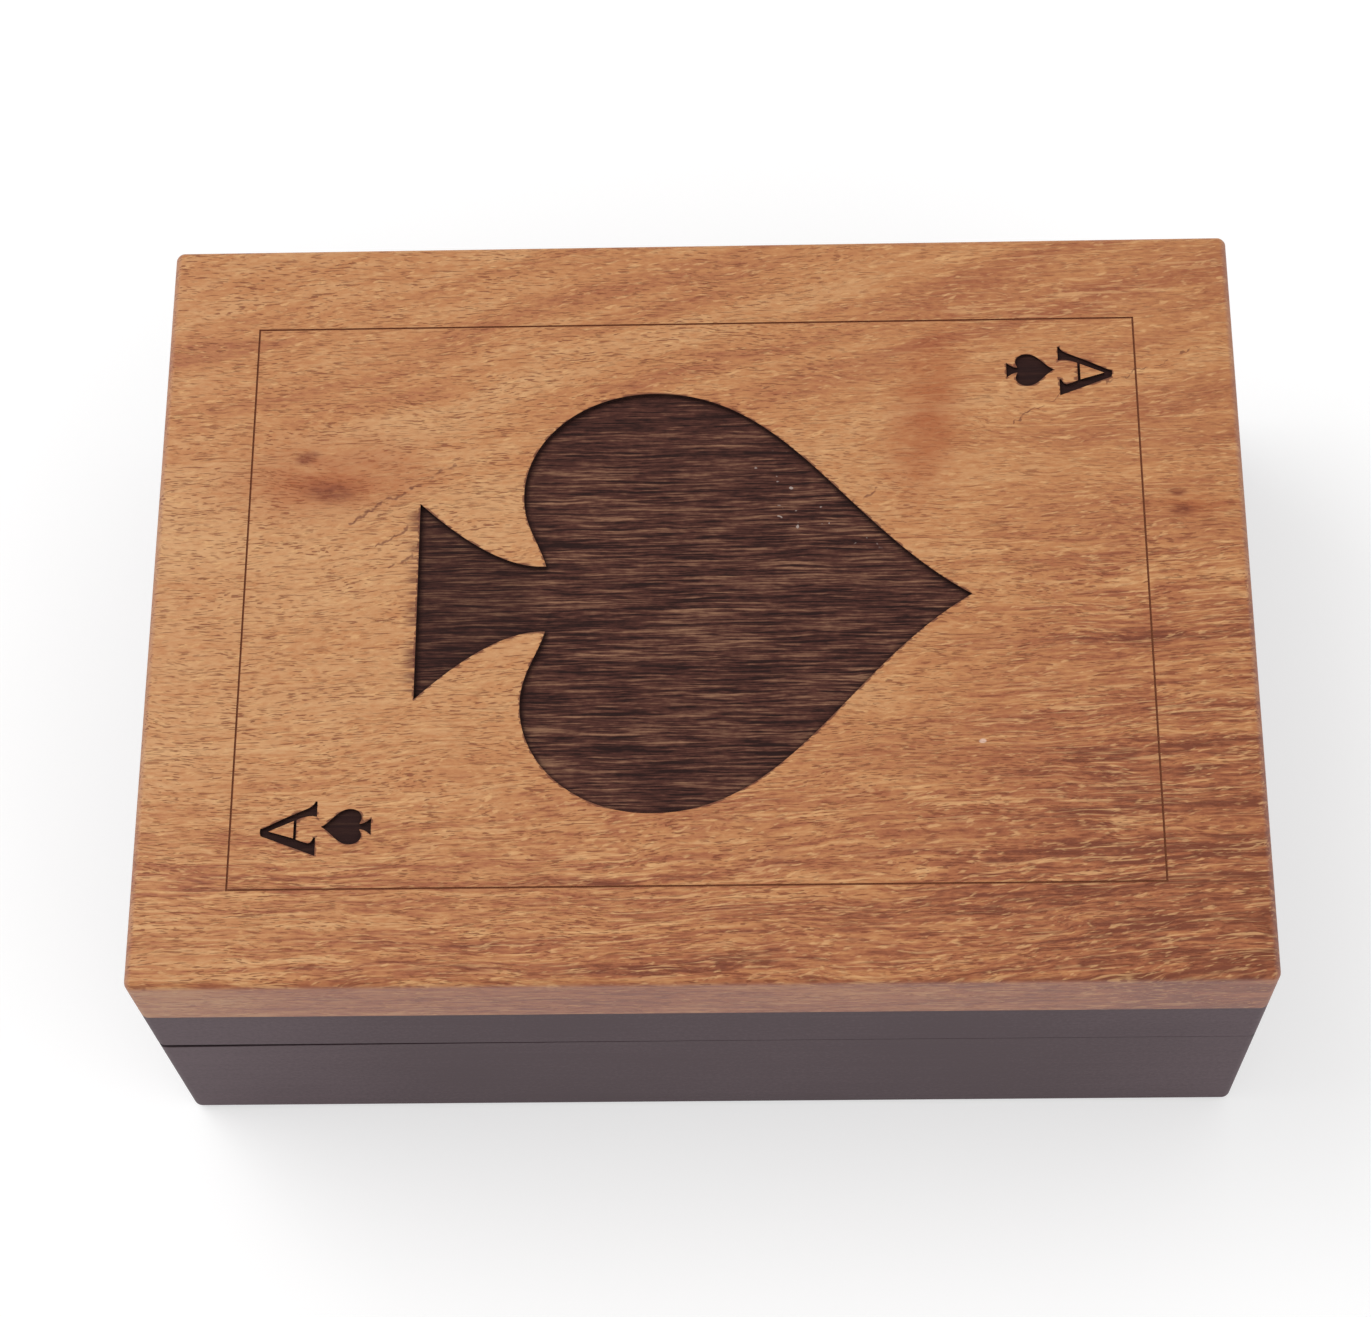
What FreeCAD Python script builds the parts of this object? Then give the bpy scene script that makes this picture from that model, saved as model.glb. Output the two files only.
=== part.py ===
"""Playing card box with a drawer: a wooden top plate, engraved as the ace of spades, on a painted casing.

The casing is open at the front, and a lapped drawer with an overlaid front board slides out of it along -Y.
Origin: centre of the footprint, at the underside. +X runs along the long side, +Z is up. Millimetres.
"""
import FreeCAD
import Part
import math
import os

Vector = FreeCAD.Vector

# Overall box
BOX_WIDTH = 120.0
BOX_DEPTH = 88.5
BOX_HEIGHT = 45.0

# Boards
PLATE_THICKNESS = 10.0
UPPER_BOARD_THICKNESS = 10.0
CASING_WALL = 6.0
BASE_THICKNESS = 3.0
CASING_REBATE = 3.0
FRONT_THICKNESS = 8.0
DRAWER_WALL = 5.0
DRAWER_BOTTOM_THICKNESS = 2.5
DRAWER_REBATE = 2.5
LINING_THICKNESS = 0.8

# Sanded edges
CORNER_RADIUS = 1.0
TOP_EASING = 0.5
FOOT_EASING = 0.8
DRAWER_EASING = 0.5

# Running clearances of the drawer
SIDE_CLEARANCE = 0.4
BASE_CLEARANCE = 0.15
TOP_CLEARANCE = 1.8
BACK_CLEARANCE = 1.0
SHUT_CLEARANCE = 0.2
FLOOR_CLEARANCE = 0.3
LINING_CLEARANCE = 0.2

# Gap over the front board: tight on the right, planed open towards the left end
FRONT_GAP_TIGHT = 0.1
FRONT_GAP_OPEN = 0.95
FRONT_FALL_START_X = 12.0

# Stopped housings for the drawer sides in the front board, and the finger slot under it
HOUSING_DEPTH = 4.0
SLOT_LENGTH = 40.0
SLOT_TOP = 5.3
SLOT_LIP = 2.25
SLOT_CORNER_RADIUS = 3.0
SLOT_ROOF_RADIUS = 2.0

# Engraving of the top plate, laid out like a playing card on its side
SPADE_DEPTH = 0.6
SPADE_CENTRE = (-0.5, -0.25)
INDEX_DEPTH = 0.4
INDEX_SCALE = (0.088, 0.080)
INDEX_CENTRE = (-0.15, 0.35)
INDEX_OFFSET = (37.25, 26.85)
BORDER_CENTRE = (-0.45, 0.1)
BORDER_LENGTH = 98.55
BORDER_WIDTH = 67.2
BORDER_LINE = 0.22
BORDER_DEPTH = 0.2

# Half outline of the large spade about its centre, pointing along +X: each span is a cubic Bezier curve
SPADE_TIP = (30.2, 0.0)
SPADE_CROWN = (-4.5, 25.1)
SPADE_LOBE_REAR = (-18.8, 12.5)
SPADE_NOTCH = (-16.2, 3.9)
SPADE_FOOT = (-30.25, 11.75)
SPADE_SPANS = (
    (SPADE_TIP, (16.3, 8.5), (10.5, SPADE_CROWN[1]), SPADE_CROWN),
    (SPADE_CROWN, (-12.6, SPADE_CROWN[1]), (SPADE_LOBE_REAR[0], 19.5), SPADE_LOBE_REAR),
    (SPADE_LOBE_REAR, (SPADE_LOBE_REAR[0], 8.9), (-17.1, 7.0), SPADE_NOTCH),
    (SPADE_NOTCH, (-20.6, 3.7), (-25.5, 7.2), SPADE_FOOT),
)

# Brads: shank and head diameters, head thickness and whole length
BASE_BRAD = {"shank": 1.2, "head": 2.2, "head_height": 0.6, "length": 12.0}
DRAWER_BRAD = {"shank": 1.0, "head": 1.8, "head_height": 0.5, "length": 9.0}
BRAD_TAPER = 1.2
BRAD_TIP = 0.2
BRAD_SINK = 0.15
BRAD_SIDES = 12
BASE_BRAD_PITCH = 31.0
BASE_BRAD_BACK_PITCH = 36.0
DRAWER_BRAD_PITCH = 25.0
DRAWER_BRAD_BACK_PITCH = 32.0

# Levels and planes worked out from the above
HALF_WIDTH = BOX_WIDTH / 2
HALF_DEPTH = BOX_DEPTH / 2
PLATE_BOTTOM = BOX_HEIGHT - PLATE_THICKNESS
BAY_TOP = PLATE_BOTTOM - UPPER_BOARD_THICKNESS
FRONT_BACK_Y = -HALF_DEPTH + FRONT_THICKNESS
CASING_FRONT_Y = FRONT_BACK_Y + SHUT_CLEARANCE
BAY_HALF_WIDTH = HALF_WIDTH - CASING_WALL
BAY_BACK_Y = HALF_DEPTH - CASING_WALL
DRAWER_HALF_WIDTH = BAY_HALF_WIDTH - SIDE_CLEARANCE
WELL_HALF_WIDTH = DRAWER_HALF_WIDTH - DRAWER_WALL
DRAWER_BACK_Y = BAY_BACK_Y - BACK_CLEARANCE
WELL_BACK_Y = DRAWER_BACK_Y - DRAWER_WALL
DRAWER_UNDERSIDE = BASE_THICKNESS + BASE_CLEARANCE
DRAWER_TOP = BAY_TOP - TOP_CLEARANCE
WELL_FLOOR = DRAWER_UNDERSIDE + DRAWER_BOTTOM_THICKNESS
CUT_OVERRUN = 1.0
TOLERANCE = 0.01


def block(x_range, y_range, z_range):
    """A straight board between two values on each axis."""
    low = Vector(min(x_range), min(y_range), min(z_range))
    high = Vector(max(x_range), max(y_range), max(z_range))
    size = high - low
    return Part.makeBox(size.x, size.y, size.z, low)


def edges_where(shape, along, test):
    """Straight edges that run along one axis and whose middle passes the test."""
    picked = []
    for edge in shape.Edges:
        if not isinstance(edge.Curve, Part.Line):
            continue
        direction = edge.tangentAt(edge.FirstParameter)
        if abs(direction.dot(along)) > 0.999 and test(edge.CenterOfMass):
            picked.append(edge)
    return picked


def ease(shape, radius, along, test):
    """Rounds the chosen straight edges, as sanding does."""
    return shape.makeFillet(radius, edges_where(shape, along, test))


def is_outer_corner(point):
    """True on the four upright corners of the whole box."""
    return abs(point.x) > HALF_WIDTH - TOLERANCE and abs(point.y) > HALF_DEPTH - TOLERANCE


def is_foot_of_side(point):
    """True on the lower outer edge of a side wall."""
    return point.z < TOLERANCE and abs(point.x) > HALF_WIDTH - TOLERANCE


def is_foot_of_back(point):
    """True on the lower outer edge of the back wall."""
    return point.z < TOLERANCE and point.y > HALF_DEPTH - TOLERANCE


def spade_pocket(centre, scale, depth, turn):
    """Cutter for a flat-bottomed spade, mirrored from its half outline and turned about its own centre."""
    floor = BOX_HEIGHT - depth

    def place(point, side):
        return Vector(centre[0] + point[0] * scale[0], centre[1] + side * point[1] * scale[1], floor)

    edges = [Part.makeLine(place(SPADE_FOOT, 1), place(SPADE_FOOT, -1))]
    for span in SPADE_SPANS:
        for side in (-1, 1):
            curve = Part.BezierCurve()
            curve.setPoles([place(point, side) for point in span])
            edges.append(curve.toShape())
    outline = Part.Wire(Part.sortEdges(edges)[0])
    pocket = Part.Face(outline).extrude(Vector(0, 0, depth + CUT_OVERRUN))
    pocket.rotate(Vector(*centre, 0), Vector(0, 0, 1), turn)
    return pocket


def index_pockets():
    """The two small corner spades: upper right, and lower left turned half round."""
    pockets = []
    for side, turn in ((1, 0), (-1, 180)):
        centre = [middle + side * offset for middle, offset in zip(INDEX_CENTRE, INDEX_OFFSET)]
        pockets.append(spade_pocket(centre, INDEX_SCALE, INDEX_DEPTH, turn))
    return pockets


def border_groove():
    """Cutter for the thin engraved frame: a rectangular ring as wide as the line."""

    def slab(growth):
        half_x = (BORDER_LENGTH + growth) / 2
        half_y = (BORDER_WIDTH + growth) / 2
        return block(
            (BORDER_CENTRE[0] - half_x, BORDER_CENTRE[0] + half_x),
            (BORDER_CENTRE[1] - half_y, BORDER_CENTRE[1] + half_y),
            (BOX_HEIGHT - BORDER_DEPTH, BOX_HEIGHT + CUT_OVERRUN),
        )

    return slab(BORDER_LINE).cut(slab(-BORDER_LINE))


def top_plate():
    """Solid wood plate with the engraved spade, its two corner spades and the border line."""
    plate = block((-HALF_WIDTH, HALF_WIDTH), (-HALF_DEPTH, HALF_DEPTH), (PLATE_BOTTOM, BOX_HEIGHT))
    plate = ease(plate, CORNER_RADIUS, Vector(0, 0, 1), is_outer_corner)
    rim = [edge for edge in plate.Edges if edge.BoundBox.ZMin > BOX_HEIGHT - TOLERANCE]
    plate = plate.makeFillet(TOP_EASING, rim)
    spade = spade_pocket(SPADE_CENTRE, (1.0, 1.0), SPADE_DEPTH, 0)
    return plate.cut([spade, border_groove(), *index_pockets()])


def upper_board():
    """Painted board under the plate: the roof over the drawer."""
    board = block((-HALF_WIDTH, HALF_WIDTH), (-HALF_DEPTH, HALF_DEPTH), (BAY_TOP, PLATE_BOTTOM))
    return ease(board, CORNER_RADIUS, Vector(0, 0, 1), is_outer_corner)


def casing_side(side):
    """Side wall, rebated along its lower inner edge for the base and at its rear end for the back board."""
    wall = block((side * BAY_HALF_WIDTH, side * HALF_WIDTH), (CASING_FRONT_Y, HALF_DEPTH), (0, BAY_TOP))
    wall = ease(wall, CORNER_RADIUS, Vector(0, 0, 1), is_outer_corner)
    wall = ease(wall, FOOT_EASING, Vector(0, 1, 0), is_foot_of_side)
    rebate_x = (side * (BAY_HALF_WIDTH - CUT_OVERRUN), side * (BAY_HALF_WIDTH + CASING_REBATE))
    base_y = (CASING_FRONT_Y - CUT_OVERRUN, HALF_DEPTH - CASING_REBATE)
    back_y = (BAY_BACK_Y, HALF_DEPTH + CUT_OVERRUN)
    base_rebate = block(rebate_x, base_y, (-CUT_OVERRUN, BASE_THICKNESS))
    back_rebate = block(rebate_x, back_y, (-CUT_OVERRUN, BAY_TOP + CUT_OVERRUN))
    return wall.cut([base_rebate, back_rebate, *base_brads()])


def back_board():
    """Rear wall, held in the rebates of the two sides and rebated for the base."""
    half = BAY_HALF_WIDTH + CASING_REBATE
    board = block((-half, half), (BAY_BACK_Y, HALF_DEPTH), (0, BAY_TOP))
    board = ease(board, FOOT_EASING, Vector(1, 0, 0), is_foot_of_back)
    rebate = block(
        (-half - CUT_OVERRUN, half + CUT_OVERRUN),
        (BAY_BACK_Y - CUT_OVERRUN, HALF_DEPTH - CASING_REBATE),
        (-CUT_OVERRUN, BASE_THICKNESS),
    )
    return board.cut([rebate, *base_brads()])


def base_panel():
    """Thin plywood base, let into the walls flush with their feet. The drawer runs on it."""
    half = BAY_HALF_WIDTH + CASING_REBATE
    panel = block((-half, half), (CASING_FRONT_Y, HALF_DEPTH - CASING_REBATE), (0, BASE_THICKNESS))
    return panel.cut([*base_brads(), *brad_mouths(BASE_BRAD, BASE_BRAD_PLACES, 0.0)])


def nail_section(diameter, level):
    """The outline of a round nail at this level, kept to a few sides because nails are small."""
    radius = diameter / 2
    angles = [2 * math.pi * step / BRAD_SIDES for step in range(BRAD_SIDES + 1)]
    return Part.makePolygon([Vector(radius * math.cos(a), radius * math.sin(a), level) for a in angles])


def nail_length(diameter, low, high):
    """A straight length of nail between two levels."""
    return Part.Face(nail_section(diameter, low)).extrude(Vector(0, 0, high - low))


def brad(size, x, y, level):
    """A headed nail driven straight up, its head sunk a little into the face at this level."""
    head_low = level + BRAD_SINK
    head_high = head_low + size["head_height"]
    tip = head_low + size["length"]
    taper_start = tip - BRAD_TAPER
    head = nail_length(size["head"], head_low, head_high)
    shank = nail_length(size["shank"], head_high, taper_start)
    sections = [nail_section(size["shank"], taper_start), nail_section(BRAD_TIP, tip)]
    nail = head.fuse([shank, Part.makeLoft(sections, True, True)]).removeSplitter()
    nail.translate(Vector(x, y, 0))
    return nail


def brad_mouths(size, places, level):
    """Cutters for the shallow open holes left below sunk brad heads."""
    mouth = nail_length(size["head"], level - CUT_OVERRUN, level + BRAD_SINK)
    return [mouth.translated(Vector(x, y, 0)) for x, y in places]


def brad_places(wall_x, wall_y, pitch, back_pitch):
    """Plan positions of three brads along each side wall and three along the back wall."""
    sides = [(side * wall_x, row * pitch) for side in (-1, 1) for row in (-1, 0, 1)]
    return sides + [(column * back_pitch, wall_y) for column in (-1, 0, 1)]


BASE_BRAD_PLACES = brad_places(
    wall_x=BAY_HALF_WIDTH + CASING_REBATE / 2,
    wall_y=BAY_BACK_Y + CASING_REBATE / 2,
    pitch=BASE_BRAD_PITCH,
    back_pitch=BASE_BRAD_BACK_PITCH,
)
DRAWER_BRAD_PLACES = brad_places(
    wall_x=WELL_HALF_WIDTH + DRAWER_REBATE / 2,
    wall_y=WELL_BACK_Y + DRAWER_REBATE / 2,
    pitch=DRAWER_BRAD_PITCH,
    back_pitch=DRAWER_BRAD_BACK_PITCH,
)


def base_brads():
    """Brads through the base panel into the side and back walls."""
    return [brad(BASE_BRAD, x, y, 0.0) for x, y in BASE_BRAD_PLACES]


def drawer_brads():
    """Brads through the drawer bottom into its sides and back."""
    return [brad(DRAWER_BRAD, x, y, DRAWER_UNDERSIDE) for x, y in DRAWER_BRAD_PLACES]


def front_outline():
    """Front view of the front board: its top edge falls in one long arc to the left."""
    tight = BAY_TOP - FRONT_GAP_TIGHT
    fall = FRONT_GAP_OPEN - FRONT_GAP_TIGHT
    run = HALF_WIDTH + FRONT_FALL_START_X
    radius = (run**2 + fall**2) / (2 * fall)

    def arc_point(x):
        drop = radius - math.sqrt(radius**2 - (FRONT_FALL_START_X - x) ** 2)
        return Vector(x, -HALF_DEPTH, tight - drop)

    left_top = arc_point(-HALF_WIDTH)
    start = arc_point(FRONT_FALL_START_X)
    corners = [
        start,
        Vector(HALF_WIDTH, -HALF_DEPTH, tight),
        Vector(HALF_WIDTH, -HALF_DEPTH, FLOOR_CLEARANCE),
        Vector(-HALF_WIDTH, -HALF_DEPTH, FLOOR_CLEARANCE),
        left_top,
    ]
    edges = [Part.makeLine(a, b) for a, b in zip(corners, corners[1:])]
    middle = arc_point((FRONT_FALL_START_X - HALF_WIDTH) / 2)
    edges.append(Part.Arc(left_top, middle, start).toShape())
    return Part.Wire(edges)


def finger_slot():
    """Cutter for the hidden slot behind the lower edge of the front board, its inner corners rounded."""
    front_y = -HALF_DEPTH + SLOT_LIP
    half = SLOT_LENGTH / 2
    cutter = block((-half, half), (front_y, FRONT_BACK_Y + CUT_OVERRUN), (-CUT_OVERRUN, SLOT_TOP))
    cutter = ease(cutter, SLOT_CORNER_RADIUS, Vector(0, 0, 1), lambda p: p.y < front_y + TOLERANCE)
    roof = [
        edge
        for edge in cutter.Edges
        if edge.BoundBox.ZMin > SLOT_TOP - TOLERANCE and edge.BoundBox.YMin < FRONT_BACK_Y
    ]
    return cutter.makeFillet(SLOT_ROOF_RADIUS, roof)


def drawer_front():
    """Overlaid front board: housings for the two sides behind, and the finger slot underneath."""
    board = Part.Face(front_outline()).extrude(Vector(0, FRONT_THICKNESS, 0))
    board = ease(board, CORNER_RADIUS, Vector(0, 0, 1), lambda p: p.y < -HALF_DEPTH + TOLERANCE)
    foot = [
        edge
        for edge in board.Edges
        if edge.BoundBox.ZMax < FLOOR_CLEARANCE + TOLERANCE and edge.BoundBox.YMax < FRONT_BACK_Y - TOLERANCE
    ]
    board = board.makeFillet(FOOT_EASING, foot)
    housings = [
        block(
            (side * WELL_HALF_WIDTH, side * DRAWER_HALF_WIDTH),
            (FRONT_BACK_Y - HOUSING_DEPTH, FRONT_BACK_Y + CUT_OVERRUN),
            (DRAWER_UNDERSIDE, DRAWER_TOP),
        )
        for side in (-1, 1)
    ]
    return board.cut([finger_slot(), *housings])


def drawer_side(side):
    """Drawer side: housed in the front board, lapped over the back and rebated for the bottom."""
    wall = block(
        (side * WELL_HALF_WIDTH, side * DRAWER_HALF_WIDTH),
        (FRONT_BACK_Y - HOUSING_DEPTH, DRAWER_BACK_Y),
        (DRAWER_UNDERSIDE, DRAWER_TOP),
    )
    wall = ease(wall, DRAWER_EASING, Vector(0, 1, 0), lambda p: p.z > DRAWER_TOP - TOLERANCE)
    rebate_x = (side * (WELL_HALF_WIDTH - CUT_OVERRUN), side * (WELL_HALF_WIDTH + DRAWER_REBATE))
    bottom_rebate = block(rebate_x, (FRONT_BACK_Y, WELL_BACK_Y + DRAWER_REBATE), (0, WELL_FLOOR))
    back_rebate = block(rebate_x, (WELL_BACK_Y, DRAWER_BACK_Y + CUT_OVERRUN), (0, BAY_TOP))
    return wall.cut([bottom_rebate, back_rebate, *drawer_brads()])


def drawer_back():
    """Drawer back, lapped into the sides and rebated for the bottom."""
    half = WELL_HALF_WIDTH + DRAWER_REBATE
    board = block((-half, half), (WELL_BACK_Y, DRAWER_BACK_Y), (DRAWER_UNDERSIDE, DRAWER_TOP))
    board = ease(board, DRAWER_EASING, Vector(1, 0, 0), lambda p: p.z > DRAWER_TOP - TOLERANCE)
    rebate = block(
        (-half - CUT_OVERRUN, half + CUT_OVERRUN),
        (WELL_BACK_Y - CUT_OVERRUN, WELL_BACK_Y + DRAWER_REBATE),
        (0, WELL_FLOOR),
    )
    return board.cut([rebate, *drawer_brads()])


def drawer_bottom():
    """Plywood bottom, let into the sides and back and butted against the front board."""
    half = WELL_HALF_WIDTH + DRAWER_REBATE
    panel = block((-half, half), (FRONT_BACK_Y, WELL_BACK_Y + DRAWER_REBATE), (DRAWER_UNDERSIDE, WELL_FLOOR))
    return panel.cut([*drawer_brads(), *brad_mouths(DRAWER_BRAD, DRAWER_BRAD_PLACES, DRAWER_UNDERSIDE)])


def drawer_lining():
    """Felt glued to the drawer bottom, cut a little small."""
    half = WELL_HALF_WIDTH - LINING_CLEARANCE
    y_range = (FRONT_BACK_Y + LINING_CLEARANCE, WELL_BACK_Y - LINING_CLEARANCE)
    return block((-half, half), y_range, (WELL_FLOOR, WELL_FLOOR + LINING_THICKNESS))


def build():
    """Every piece by its node name."""
    return {
        "top_plate": top_plate(),
        "upper_board": upper_board(),
        "left_side": casing_side(-1),
        "right_side": casing_side(1),
        "back_board": back_board(),
        "base_panel": base_panel(),
        "base_brads": Part.makeCompound(base_brads()),
        "drawer_front": drawer_front(),
        "drawer_left_side": drawer_side(-1),
        "drawer_right_side": drawer_side(1),
        "drawer_back": drawer_back(),
        "drawer_bottom": drawer_bottom(),
        "drawer_lining": drawer_lining(),
        "drawer_brads": Part.makeCompound(drawer_brads()),
    }


os.makedirs("parts", exist_ok=True)
for node, shape in build().items():
    if not shape.isValid():
        raise RuntimeError(f"{node} is not a valid solid")
    shape.exportStep(f"parts/{node}.step")
    print(f"{node}: {len(shape.Solids)} solid(s), {shape.Volume:.0f} mm3")
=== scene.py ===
"""Wooden playing card box: a dark painted casing with an engraved top plate, and a felt-lined drawer."""

import logging
import math
from dataclasses import dataclass
from enum import Enum
from functools import partial, reduce

import bmesh
import bpy
import numpy as np
from mathutils import Matrix, Vector
from mathutils.geometry import delaunay_2d_cdt


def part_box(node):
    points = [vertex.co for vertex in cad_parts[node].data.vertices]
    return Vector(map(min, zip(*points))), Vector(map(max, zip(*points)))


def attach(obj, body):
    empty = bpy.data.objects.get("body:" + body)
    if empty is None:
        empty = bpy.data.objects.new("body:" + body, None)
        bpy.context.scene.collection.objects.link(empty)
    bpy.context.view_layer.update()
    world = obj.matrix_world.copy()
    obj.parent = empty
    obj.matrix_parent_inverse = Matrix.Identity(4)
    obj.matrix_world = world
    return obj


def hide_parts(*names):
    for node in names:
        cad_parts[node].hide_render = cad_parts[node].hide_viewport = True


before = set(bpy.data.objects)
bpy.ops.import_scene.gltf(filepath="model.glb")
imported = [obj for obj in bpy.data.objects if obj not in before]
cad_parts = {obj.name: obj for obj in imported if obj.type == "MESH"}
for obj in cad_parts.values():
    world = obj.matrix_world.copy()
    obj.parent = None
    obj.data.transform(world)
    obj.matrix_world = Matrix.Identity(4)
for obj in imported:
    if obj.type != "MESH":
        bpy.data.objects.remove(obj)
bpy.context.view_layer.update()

LOG = logging.getLogger("card_box")
MM = 0.001
# Signs of X and Y in the four quarters of a plan, anticlockwise.
QUARTERS = ((1, 1), (-1, 1), (-1, -1), (1, -1))
Socket = bpy.types.NodeSocket
Colour = tuple[float, float, float]
Span = tuple[float, float]


class Body(Enum):
    """The two bodies of the box, as the frame names them."""

    CASING = "casing"
    DRAWER = "drawer"


class Grain(Enum):
    """The axis along which the fibres of a board run."""

    ALONG_X = 0
    ALONG_Y = 1


def srgb(red: float, green: float, blue: float) -> Colour:
    """Turns a colour written in display values from 0 to 255 into linear light.

    Args:
        red: Red display value.
        green: Green display value.
        blue: Blue display value.

    Returns:
        The linear colour, each part being ((value / 255 + 0.055) / 1.055) to the power 2.4.
    """
    return tuple(((value / 255 + 0.055) / 1.055) ** 2.4 for value in (red, green, blue))


# ---------------------------------------------------------------- node helpers


@dataclass(frozen=True)
class Pattern:
    """Fractal noise in the object's own space, about 0.5 on average.

    Scale is in repeats per metre along each axis, detail in octaves, rough is how strong the finer ones are,
    and turn is about Z in degrees. Distortion is how much the pattern is stirred, and shown is the pair of
    values between which it comes up as marks.
    """

    scale: tuple[float, float, float]
    detail: float = 2.0
    rough: float = 0.5
    turn: float = 0.0
    distortion: float = 0.0
    shown: Span = (0.0, 1.0)


@dataclass(frozen=True)
class Patch:
    """An ellipse on the plan: centre, half length and half width in millimetres, and its turn in degrees."""

    centre: tuple[float, float]
    radii: tuple[float, float]
    turn: float = 0.0


class Tree:
    """A node tree, with short methods for the nodes that this script uses."""

    SEEN_RAYS = ("Is Camera Ray", "Is Glossy Ray", "Is Transmission Ray")

    def __init__(self, tree: bpy.types.NodeTree) -> None:
        """Wraps a tree."""
        self.tree = tree

    def node(self, kind: str, inputs: object = (), **settings: object) -> bpy.types.Node:
        """Adds a node.

        Args:
            kind: Blender's name of the node type.
            inputs: Values of its first inputs in order, or of any inputs by name or number.
            settings: Its properties.

        Returns:
            The node.
        """
        node = self.tree.nodes.new(kind)
        for name, value in settings.items():
            setattr(node, name, value)
        for key, value in inputs.items() if isinstance(inputs, dict) else enumerate(inputs):
            self.link(value, node.inputs[key])
        return node

    def link(self, value: object, socket: Socket) -> None:
        """Feeds a socket with another socket, or sets its constant.

        Args:
            value: A socket, a number, or a colour or vector as a tuple.
            socket: The input to fill.
        """
        if isinstance(value, bpy.types.NodeSocket):
            self.tree.links.new(value, socket)
        elif isinstance(value, tuple) and len(value) == 3 and socket.type == "RGBA":
            socket.default_value = (*value, 1.0)
        else:
            socket.default_value = value

    def math(self, operation: str, *values: object, clamp: bool = False) -> Socket:
        """The result of a Math node, named as Blender names it, held between 0 and 1 if clamped."""
        return self.node("ShaderNodeMath", values, operation=operation, use_clamp=clamp).outputs[0]

    def times(self, *values: object) -> Socket:
        """The product of numbers and sockets."""
        return reduce(partial(self.math, "MULTIPLY"), values)

    def plus(self, *values: object) -> Socket:
        """The sum of numbers and sockets."""
        return reduce(partial(self.math, "ADD"), values)

    def highest(self, *values: object) -> Socket:
        """The greatest of numbers and sockets."""
        return reduce(partial(self.math, "MAXIMUM"), values)

    def linear(self, value: Socket, factor: object, shift: object) -> Socket:
        """The value times a factor, plus a shift."""
        return self.math("MULTIPLY_ADD", value, factor, shift)

    def within(self, value: Socket, middle: float, half: float) -> Socket:
        """1 where a value lies within half a width of a middle, and 0 elsewhere."""
        return self.math("LESS_THAN", self.math("ABSOLUTE", self.plus(value, -middle)), half)

    def seen(self) -> Socket:
        """1 where the camera sees a surface directly, in a reflection or through glass, and 0 elsewhere."""
        rays = self.node("ShaderNodeLightPath").outputs
        return self.highest(*(rays[name] for name in self.SEEN_RAYS))


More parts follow.
